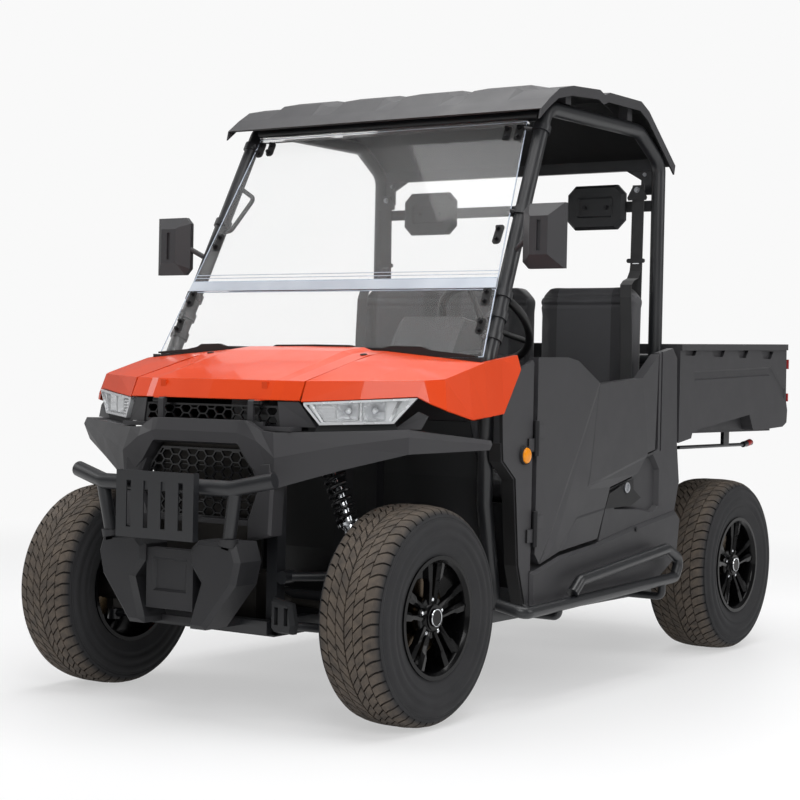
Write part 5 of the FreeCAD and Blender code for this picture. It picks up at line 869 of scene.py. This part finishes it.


# Door hardware: black steel hinge barrels on the front posts, and behind each door a flat black rubber
# plate, painted shade that stands in for a latch recess, with a zinc plated lock. They are screwed to the
# chassis side.
hinge_x = 0.706
hinge_y = -0.512
barrels = []
for side in (-1, 1):
    for low, high in ((0.503, 0.617), (0.793, 0.907)):
        tall = high - low
        profile = [(0, 0), (0, 0.0095), (0.001, 0.0105), (tall - 0.001, 0.0105), (tall, 0.0095), (tall, 0)]
        barrels.append(turned(profile, (side * hinge_x, hinge_y, low), (0, 0, 1), 20))
surfaced("hinge_barrels", barrels, [blackened], "chassis")

recess_shade_outline = [(-0.028, 0.601), (0.000, 0.652), (0.060, 0.668), (0.112, 0.684), (0.176, 0.697),
                  (0.178, 0.660), (0.236, 0.628), (0.160, 0.603)]
recess_shade_x = 0.7003
lock_profile = [(0, 0), (0, 0.019), (0.006, 0.019), (0.008, 0.017), (0.008, 0.012), (0.004, 0.011),
                (0.004, 0)]
lock_place = (0.7015, 0.122, 0.668)
recess_shade_plates = []
locks = []
for side in (-1, 1):
    flat = [(side * y, z) for y, z in recess_shade_outline]
    recess_shade_plates.append(plate(flat, (side * recess_shade_x, 0, 0), (0, side, 0), (0, 0, 1), 0.0015))
    locks.append(turned(lock_profile, (side * lock_place[0], *lock_place[1:]), (side, 0, 0), 28))
# Painted shade: a flat black plate stands in for the depth of each latch recess.
surfaced("latch_pockets", recess_shade_plates, [rubber], "chassis", smooth=False)
surfaced("door_locks", locks, [zinc], "chassis")
bolts("rocker_bolts", "chassis", mirror_pairs([((0.7122, 0.182, 0.519), (1, 0, 0))]), radius=0.007,
      height=0.003, tree=black_bolt_tree)


# Painted panels: orange enamel under clear lacquer on moulded panels.
# The lacquer gives a sharp highlight with the faintest orange peel.
# The bonnet's two hinge ears stay black, and a rubber plug closes each of the two holes in its top.
paint = finish("orange_enamel", ("#D23F12", "#D94515"), grain=7.0, height=0.03, roughness=0.34,
               spread=0.03, Specular_IOR_Level=0.2, Coat_Weight=0.3, Coat_Roughness=0.05)
ear_top = 0.9592
ear_half = 0.30
tree = paint.node_tree
place = add(tree, "ShaderNodeTexCoord").outputs["Object"]
parts = add(tree, "ShaderNodeSeparateXYZ", None, Vector=place)
low_down = add(tree, "ShaderNodeMath", {"operation": "LESS_THAN"}, _0=parts.outputs["Z"], _1=ear_top)
inner = add(tree, "ShaderNodeMath", {"operation": "ABSOLUTE"}, _0=parts.outputs["X"])
inner = add(tree, "ShaderNodeMath", {"operation": "LESS_THAN"}, _0=inner.outputs[0], _1=ear_half)
laid_over(paint, merged(tree, "MULTIPLY", [low_down.outputs[0], inner.outputs[0]]), "#101011")
dress(paint, "bonnet", "bonnet_wings")

plug_profile = [(-0.002, 0.0), (-0.002, 0.011), (0.001, 0.012), (0.003, 0.0105), (0.004, 0.007),
                (0.0042, 0.0)]
plugs = [turned(plug_profile, (side * 0.312, -0.917, 1.1042), (0, -0.15, 1), 24) for side in (-1, 1)]
surfaced("bonnet_plugs", plugs, [rubber], "front_bonnet")


# Windscreen: two sheets of clear polycarbonate with a light metal rail between them.
# The sheets' cut edges are polished, and their pale colour is a painted reflection of the sky; rubber pads
# bolt them to the cage, and a wavy rubber seal closes the foot at the cowl.
# Polycarbonate is almost clear, with a faint haze in broad smears where it was wiped.
clear, tree, shader = new_material("polycarbonate_sheet", IOR=1.2, Transmission_Weight=0.96)
place = add(tree, "ShaderNodeTexCoord").outputs["Object"]
smear = add(tree, "ShaderNodeTexNoise", None, Vector=place, Scale=3.0, Detail=4.0)
rough = add(tree, "ShaderNodeMapRange", None, Value=smear.outputs[0], To_Min=0.01, To_Max=0.05)
tree.links.new(rough.outputs[0], shader.inputs["Roughness"])
two_tone(tree, shader, smear.outputs[0], "#F8F9F9", "#FCFCFC")
dress(clear, "windscreen", "lamp_lenses")

# The polished edges read as thin bluish lines: their pale bluish colour is a painted reflection of the sky.
sheet_edge_painted_sky = finish("polished_sheet_edge", ("#A9B4C6", "#C3CCDA"), grain=6.0, height=0.02,
                    roughness=0.25, spread=0.05, Coat_Weight=0.5)
screen_foot = Vector((0.663, -0.772, 1.100))
screen_head = Vector((0.560, -0.359, 1.889))
screen_out = Vector((0, -0.886, 0.4637))
screen_up = Vector((0, 0.4637, 0.886))


def on_screen(share, inset, side, lift):
    """A point on the screen at a share of its height, some way in from its side edge."""
    place = screen_foot.lerp(screen_head, share)
    return Vector((side * (place.x - inset), place.y, place.z)) + screen_out * lift


edge_lift = 0.0025
edge_radius = 0.0019
edges = []
for low, high in ((0.004, 0.276), (0.324, 0.996)):
    corners = [on_screen(low, 0.001, -1, edge_lift), on_screen(low, 0.001, 1, edge_lift),
               on_screen(high, 0.001, 1, edge_lift), on_screen(high, 0.001, -1, edge_lift)]
    for start, end in zip(corners, corners[1:] + corners[:1]):
        edges.append(tube([start, end], edge_radius, 6))
for share in (0.338, 0.352):
    edges.append(tube([on_screen(share, 0.003, side, 0.0055) for side in (-1, 1)], 0.0013, 6))
surfaced("screen_edges", edges, [sheet_edge_painted_sky], "chassis")

lip_wide = 0.022
lip = plate([(-0.555, 0), (0.555, 0), (0.545, lip_wide), (-0.545, lip_wide)],
            on_screen(0.985, 0.56, 1, 0.005), (1, 0, 0), screen_out, 0.003)
surfaced("screen_lip", [lip], [clear], "chassis", smooth=False)

pad_lift = 0.0052
pad_wall = 0.006
bolt_share = 0.28
pads = []
pad_bolts = []
for share, inset, tall in ((0.945, 0.022, 0.062), (0.945, 0.068, 0.055), (0.505, 0.030, 0.07),
                           (0.245, 0.030, 0.062), (0.125, 0.030, 0.055)):
    for side in (-1, 1):
        centre = on_screen(share, inset, side, pad_lift)
        along = (screen_head - screen_foot).normalized()
        along = Vector((side * along.x, along.y, along.z))
        pads.append(plate(rounded(0.03, tall, 0.011), centre, (1, 0, 0), screen_up, -pad_wall))
        for shift in (-bolt_share, bolt_share):
            pad_bolts.append((centre + along * (shift * tall) + screen_out * pad_wall, tuple(screen_out)))
surfaced("screen_pads", pads, [rubber], "chassis")
bolts("screen_pad_bolts", "chassis", pad_bolts, radius=0.0062, height=0.006, tree=black_bolt_tree)

seal_tops = [(-0.650, 1.108), (-0.52, 1.118), (-0.475, 1.126), (-0.455, 1.136), (-0.38, 1.138),
             (-0.35, 1.130), (-0.15, 1.129), (-0.13, 1.136), (0.03, 1.138), (0.17, 1.137), (0.20, 1.130),
             (0.30, 1.129), (0.335, 1.136), (0.45, 1.134), (0.48, 1.124), (0.56, 1.116), (0.650, 1.108)]
seal_outline = [(-0.650, 1.102), (0.650, 1.102)] + list(reversed(seal_tops))
seal_y = -0.7985
seal_wall = 0.016
seal = plate(seal_outline, (0, seal_y, 0), (1, 0, 0), (0, 0, 1), -seal_wall)
surfaced("cowl_seal", [seal], [rubber], "chassis", smooth=False)

# Anodising leaves the rail an even silver without sharp lights; its pale bluish tone is partly a painted
# reflection of the sky.
aluminium = finish("anodised_aluminium", ("#C2CCD8", "#DAE1E9"), grain=1.0, height=0.03,
                   roughness=0.32, spread=0.04, Metallic=0.45)
dress(aluminium, "windscreen_rail")


# Headlamps: vacuum plated housings with two square mouthed bowls, fins and a divider behind a clear
# lens. The plating is bright without being a mirror, its pale colour partly a painted reflection; a black
# skirt closes the gap below.
plated = finish("vacuum_plated_housing", ("#CDCFD2", "#E6E7E9"), grain=3.0, height=0.03,
                roughness=0.26, spread=0.06, Metallic=0.45)
dress(plated, "headlamps")
lamp_back = Vector((-0.5, 0.866, 0)).normalized()
lamp_along = Vector((0.866, 0.5, 0)).normalized()
lamp_foot = Vector((0.339, -1.2678, 0))
lamp_floor = 0.026
bowl_rings = [(-0.017, 0.0325, 0.0285, 9.0), (-0.015, 0.0312, 0.0272, 9.0), (-0.004, 0.0262, 0.0252, 4.0),
              (0.0, 0.0243, 0.0243, 2.0), (0.008, 0.022, 0.022, 2.0), (0.015, 0.0165, 0.0165, 2.0),
              (0.021, 0.009, 0.009, 2.0), (0.0236, 0.001, 0.001, 2.0)]
bulb_profile = [(0.020, 0.0085), (0.010, 0.0092), (0.004, 0.0085), (0.000, 0.006), (-0.002, 0.002),
                (-0.0022, 0.0)]
fin_count = 5
fin_pitch = 0.0095
fin_wall = 0.003


def lamp_place(along, height, depth, side):
    """A point in the lamp by its run, its height and its depth behind the outer plane."""
    place = lamp_foot + lamp_along * along + lamp_back * depth
    return Vector((side * place.x, place.y, height))


def reflector(along, height, side):
    """A square mouthed reflector that narrows to a round bowl."""
    steps = 40
    verts = []
    for depth, half_wide, half_tall, power in bowl_rings:
        for step in range(steps):
            angle = 2 * pi * step / steps
            reach = (abs(cos(angle)) ** power + abs(sin(angle)) ** power) ** (-1 / power)
            verts.append(lamp_place(along + reach * cos(angle) * half_wide,
                                    height + reach * sin(angle) * half_tall, lamp_floor + depth, side))
    return verts, bands(len(bowl_rings), steps)


def lamp_slab(corners, near, far, side):
    """A block in the lamp between two depths."""
    return walled([lamp_place(along, height, near, side) for along, height in corners],
                  [lamp_place(along, height, far, side) for along, height in corners])


lamp_corners = [(0.022, 0.9555), (0.300, 0.9715), (0.265, 0.8985), (0.063, 0.8935)]
lamp_inner = [(0.034, 0.9505), (0.287, 0.9650), (0.258, 0.9040), (0.068, 0.8990)]
bright_parts = []
for side in (-1, 1):
    for along, height in ((0.138, 0.934), (0.217, 0.936)):
        bright_parts.append(reflector(along, height, side))
        bright_parts.append(turned(bulb_profile, lamp_place(along, height, lamp_floor, side),
                                   (side * lamp_back.x, lamp_back.y, 0), 24))
    for index in range(4):
        after = (index + 1) % 4
        band = [lamp_corners[index], lamp_corners[after], lamp_inner[after], lamp_inner[index]]
        bright_parts.append(lamp_slab(band, 0.0035, 0.014, side))
    for index in range(fin_count):
        low = 0.9045 + index * fin_pitch
        start = 0.062 - index * 0.006
        fin = [(start, low), (0.100, low), (0.100, low + fin_wall), (start - 0.002, low + fin_wall)]
        bright_parts.append(lamp_slab(fin, 0.010, 0.024, side))
    divider = [(0.1755, 0.905), (0.1795, 0.905), (0.1795, 0.963), (0.1755, 0.963)]
    bright_parts.append(lamp_slab(divider, 0.006, 0.024, side))
skirt = [(0.040, 0.868), (0.290, 0.878), (0.278, 0.8985), (0.050, 0.8905)]
surfaced("lamp_skirts", [lamp_slab(skirt, 0.014, 0.022, side) for side in (-1, 1)], [black_plastic],
         "chassis", smooth=False)
surfaced("lamp_reflectors", bright_parts, [plated], "chassis")


# Tail lamps and the small lenses on the bed's rear corners: moulded red acrylic, deep and glossy.
# The red sleeve beside them is dipped vinyl on the bed's lever, duller than the lenses.
red_lens = finish("red_acrylic_lens", ("#7E0A0A", "#A31212"), grain=12.0, height=0.6, roughness=0.18,
                  spread=0.04, Coat_Weight=0.6, Coat_Roughness=0.05)
dress(red_lens, "tail_lamps")
corner_half = 0.020
corner_lenses = []
for side in (-1, 1):
    for low, high in ((1.099, 1.138), (0.966, 0.999)):
        outline = [(-corner_half, low), (corner_half, low), (corner_half, high), (-corner_half, high)]
        corner_lenses.append(plate(outline, (side * 0.680, 1.5345, 0), (1, 0, 0), (0, 0, 1), -0.0125))
surfaced("corner_lenses", corner_lenses, [red_lens], "bed", smooth=False)

vinyl_grip = finish("dipped_vinyl_grip", ("#9C1410", "#B31B15"), grain=1.8, height=0.06,
                    roughness=0.36, spread=0.05)
sleeve = [(0, 0), (0, 0.0118), (0.002, 0.0128), (0.036, 0.0128), (0.039, 0.011), (0.0395, 0)]
surfaced("lever_sleeve", [turned(sleeve, (0.600, 1.3635, 0.7925), (0, 0.985, 0.17), 24)], [vinyl_grip],
         "bed")


# Side indicators: a domed amber acrylic lens in a rubber ring, pressed into each cowl side.
# The lens glows warm and even, with only a weak highlight.
amber_lens = finish("amber_acrylic_lens", ("#E07C00", "#F09A06"), grain=5.0, height=0.5, roughness=0.24,
                    spread=0.04, Specular_IOR_Level=0.3, Coat_Weight=0.08, Coat_Roughness=0.1)
lens_dome = [(-0.001, 0.0), (-0.001, 0.0252), (0.009, 0.0252), (0.0125, 0.0235), (0.0142, 0.018),
             (0.015, 0.009), (0.0152, 0.0)]
lens_ring = [(-0.001, 0.0254), (0.0085, 0.0254), (0.0105, 0.0272), (0.009, 0.0292), (-0.001, 0.0298)]
lenses = []
rings = []
for side in (-1, 1):
    place = (side * 0.7005, -0.575, 0.797)
    lenses.append(turned(lens_dome, place, (side, 0, 0), 36))
    rings.append(turned(lens_ring, place, (side, 0, 0), 36, closed=True))
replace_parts(surfaced("indicator_lenses", lenses, [amber_lens], "chassis"), "side_indicators")
surfaced("indicator_rings", rings, [rubber], "chassis")


# Instruments: one flat display under smoked glass, let into the back of the pod behind the wheel.
# It is switched off, so it shows nothing but the sky.
smoked = finish("smoked_display_glass", ("#0A0C10", "#10131A"), grain=2.0, height=0.01, roughness=0.1,
                spread=0.03, Coat_Weight=0.6, Coat_Roughness=0.03)
display = plate(rounded(0.150, 0.080, 0.010), (0.360, -0.5075, 1.167), (-1, 0, 0), (0, -0.196, 0.98),
                0.0015)
surfaced("display_glass", [display], [smoked], "chassis", smooth=False)


# Mirrors: thin glass, silvered on its back and let into the rear of each plastic housing.
# It mirrors what lies behind the vehicle almost without loss.
silvered = finish("silvered_glass", ("#D3D8DA", "#DDE2E4"), grain=30.0, height=0.01, roughness=0.04,
                  spread=0.02, Metallic=1.0)
mirror_face = [(0.716, 1.395), (0.832, 1.395), (0.832, 1.582), (0.716, 1.582), (0.6985, 1.566),
               (0.6985, 1.411)]
mirror_depths = (-0.5805, -0.5785)
glasses = []
for side in (-1, 1):
    front, back = [[Vector((side * x, y, z)) for x, z in mirror_face] for y in mirror_depths]
    glasses.append(walled(front, back))
surfaced("mirror_glasses", glasses, [silvered], "chassis", smooth=False)


# Seats: foam pads under coated cloth, sewn in panels with two cross seams on each backrest.
# The cover is blown tight by cloth simulation, then the seams are drawn in as channels.
# The coating gives the cloth a soft sheen, and darker stripes are woven along its panels.
seat_cloth = finish("coated_seat_cloth", ("#2B2B2E", "#343437"), grain=2.6, height=0.12, roughness=0.58,
                    spread=0.05, Sheen_Weight=0.15)
stripe_places = (-0.552, -0.27, -0.16, 0.118, 0.262, 0.548)
stripe_half = 0.031
tree = seat_cloth.node_tree
place = add(tree, "ShaderNodeTexCoord").outputs["Object"]
parts = add(tree, "ShaderNodeSeparateXYZ", None, Vector=place)
stripes = []
for stripe in stripe_places:
    off = add(tree, "ShaderNodeMath", {"operation": "SUBTRACT"}, _0=parts.outputs["X"], _1=stripe)
    off = add(tree, "ShaderNodeMath", {"operation": "ABSOLUTE"}, _0=off.outputs[0])
    off = add(tree, "ShaderNodeMath", {"operation": "LESS_THAN"}, _0=off.outputs[0], _1=stripe_half)
    stripes.append(off.outputs[0])
laid_over(seat_cloth, merged(tree, "MAXIMUM", stripes), "#131317")

seat_cap = 0.016
seat_voxel = 0.011
seat_draw_in = 0.012
seat_edge = 0.016
cover_pressure = 4
cover_frames = 20


def padded_box(name, low, high, chamfer):
    """A foam pad: a box with cut upper corners, blown up as cloth and held near its start."""
    x0, y0, z0 = [value + seat_draw_in for value in low]
    x1, y1, z1 = [value - seat_draw_in for value in high]
    outline = [(x0, z0), (x1, z0), (x1, z1), (x0, z1)]
    if chamfer:
        outline = [(x0, z0), (x1, z0), (x1, z1 - chamfer), (x1 - chamfer, z1), (x0 + chamfer, z1),
                   (x0, z1 - chamfer)]
    mesh = meshed(name, [walled([(x, y0, z) for x, z in outline], [(x, y1, z) for x, z in outline])])
    shell = bmesh.new()
    shell.from_mesh(mesh)
    bmesh.ops.bevel(shell, geom=shell.edges[:], offset=seat_edge, segments=3, affect="EDGES", profile=0.5)
    shell.to_mesh(mesh)
    shell.free()
    pad = new_object(name, mesh)
    remesh = pad.modifiers.new("even", "REMESH")
    remesh.mode = "VOXEL"
    remesh.voxel_size = seat_voxel
    settled(pad)
    start = [v.co.copy() for v in pad.data.vertices]
    cloth = pad.modifiers.new("cover", "CLOTH")
    cloth.settings.use_pressure = True
    cloth.settings.uniform_pressure_force = cover_pressure
    cloth.settings.effector_weights.gravity = 0
    cloth.point_cache.frame_start = 1
    cloth.point_cache.frame_end = cover_frames
    for step in range(1, cover_frames + 1):
        scene.frame_set(step)
    settled(pad)
    scene.frame_set(1)
    for vertex, home in zip(pad.data.vertices, start):
        moved = vertex.co - home
        if moved.length > seat_cap:
            moved = moved * (seat_cap / moved.length)
        vertex.co = [min(max(value, least), most) for value, least, most in zip(home + moved, low, high)]
    smooth = pad.modifiers.new("smooth", "SUBSURF")
    smooth.levels = 1
    smooth.render_levels = 1
    settled(pad)
    pad.data.polygons.foreach_set("use_smooth", [True] * len(pad.data.polygons))
    return pad


def sew(pad, middle, axis, lines, depth, width):
    """Draws channels into a pad's upper face (axis 1) or front (axis 2) where it meets the lines."""
    for vertex in pad.data.vertices:
        pull = sum(exp(-((vertex.co[axis] - line) / width) ** 2) for line in lines)
        if axis == 1:
            vertex.co.z -= depth * pull if vertex.co.z > middle[2] else 0
        else:
            vertex.co.y += depth * pull if vertex.co.y < middle[1] else 0


seat_pads = [
    ("cushion_bench", (-0.56, -0.075, 0.6003), (0.180, 0.324, 0.700), 0.0, "seat_cushion"),
    ("cushion_driver", (0.1865, -0.075, 0.6003), (0.56, 0.324, 0.700), 0.0, "seat_cushion"),
    ("backrest_bench", (-0.625, 0.330, 0.706), (0.180, 0.4355, 1.405), 0.045, "seat_back"),
    ("backrest_driver", (0.1865, 0.330, 0.706), (0.625, 0.4355, 1.405), 0.045, "seat_back")]
seam_depth = 0.006
cushion_seams = (0.06, 0.19)
backrest_seams = (1.313, 1.342)
for name, low, high, chamfer, node in seat_pads:
    pad = padded_box(name, low, high, chamfer)
    middle = [(a + b) / 2 for a, b in zip(low, high)]
    if node == "seat_back":
        sew(pad, middle, 2, backrest_seams, seam_depth, 0.005)
    else:
        sew(pad, middle, 1, cushion_seams, seam_depth, 0.006)
    pad.data.materials.clear()
    pad.data.materials.append(seat_cloth)
    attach(pad, "chassis")
    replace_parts(pad, node)


# Belts: woven polyester webbing, quite dull, that comes down the rear posts of the cage, over the
# backrest and down in front of it.
webbing = finish("woven_polyester_webbing", ("#131314", "#1C1C1E"), grain=1.4, height=0.4,
                 roughness=0.7, spread=0.05, Sheen_Weight=0.3)
dress(webbing, "seat_belts")
belt_width = 0.046
belt_wall = 0.0016
belt_run = [(0.5585, 0.4385, 1.470), (0.560, 0.430, 1.440), (0.563, 0.405, 1.412), (0.568, 0.365, 1.402),
            (0.575, 0.330, 1.385), (0.582, 0.318, 1.34), (0.588, 0.318, 1.20), (0.590, 0.318, 1.00),
            (0.590, 0.316, 0.86), (0.592, 0.306, 0.76)]


def ribbon(points, width, wall, side):
    """A flat strap along a line of points, its width across the vehicle."""
    verts = []
    for x, y, z in points:
        for across in (-width / 2, width / 2):
            verts.append(Vector((side * (x + across), y, z)))
            verts.append(Vector((side * (x + across), y + wall, z)))
    faces = [(0, 1, 3, 2)]
    for index in range(len(points) - 1):
        a = 4 * index
        for first, second in ((0, 2), (2, 3), (3, 1), (1, 0)):
            faces.append((a + first, a + second, a + 4 + second, a + 4 + first))
    last = 4 * len(points) - 4
    faces.append((last, last + 2, last + 3, last + 1))
    return verts, faces


surfaced("belt_runs", [ribbon(belt_run, belt_width, belt_wall, side) for side in (-1, 1)], [webbing],
         "chassis", smooth=False)


# Steering wheel and headrests: the rim is moulded over a steel ring with a leather grain that keeps
# it half dull, and two bolts hold each headrest to the cross plate of the cage.
grip = finish("leather_grained_rim", ("#141415", "#202021"), grain=2.0, height=0.3, roughness=0.45,
              spread=0.05)
dress(grip, "steering_wheel")
headrest_bolts = [((side * 0.371 + across, 0.4645, 1.681), (0, -1, 0)) for side in (-1, 1)
                  for across in (-0.045, 0.045)]
bolts("headrest_bolts", "chassis", headrest_bolts, radius=0.007, height=0.006, tree=black_bolt_tree)


# Belt fittings: above each run a plastic stop with a chromed tongue in it, and at the top a plastic
# guide on a zinc plated bolt, all in front of the rear posts of the cage.
belt_x = 0.5575
tongue_z = 1.478
guide_z = 1.733
guide_outline = [(-0.036, -0.034), (0.036, -0.034), (0.040, -0.024), (0.016, 0.020), (-0.016, 0.020),
                 (-0.040, -0.024)]
guides = []
tongues = []
belt_bolts = []
for side in (-1, 1):
    x = side * belt_x
    guides.append(plate(rounded(0.072, 0.016, 0.007), (x, 0.4335, tongue_z), (1, 0, 0), (0, 0, 1), -0.007))
    guides.append(plate(guide_outline, (x, 0.4365, guide_z), (1, 0, 0), (0, 0, 1), -0.004))
    tongues.append(plate(rounded(0.026, 0.040, 0.006), (x, 0.4375, tongue_z - 0.022), (1, 0, 0),
                         (0, 0, 1), -0.003))
    belt_bolts.append(((x, 0.4355, guide_z + 0.004), (0, -1, 0)))
surfaced("belt_guides", guides, [black_plastic], "chassis", smooth=False)
surfaced("belt_tongues", tongues, [chrome], "chassis", smooth=False)
bolts("belt_bolts", "chassis", belt_bolts, radius=0.008, height=0.006)
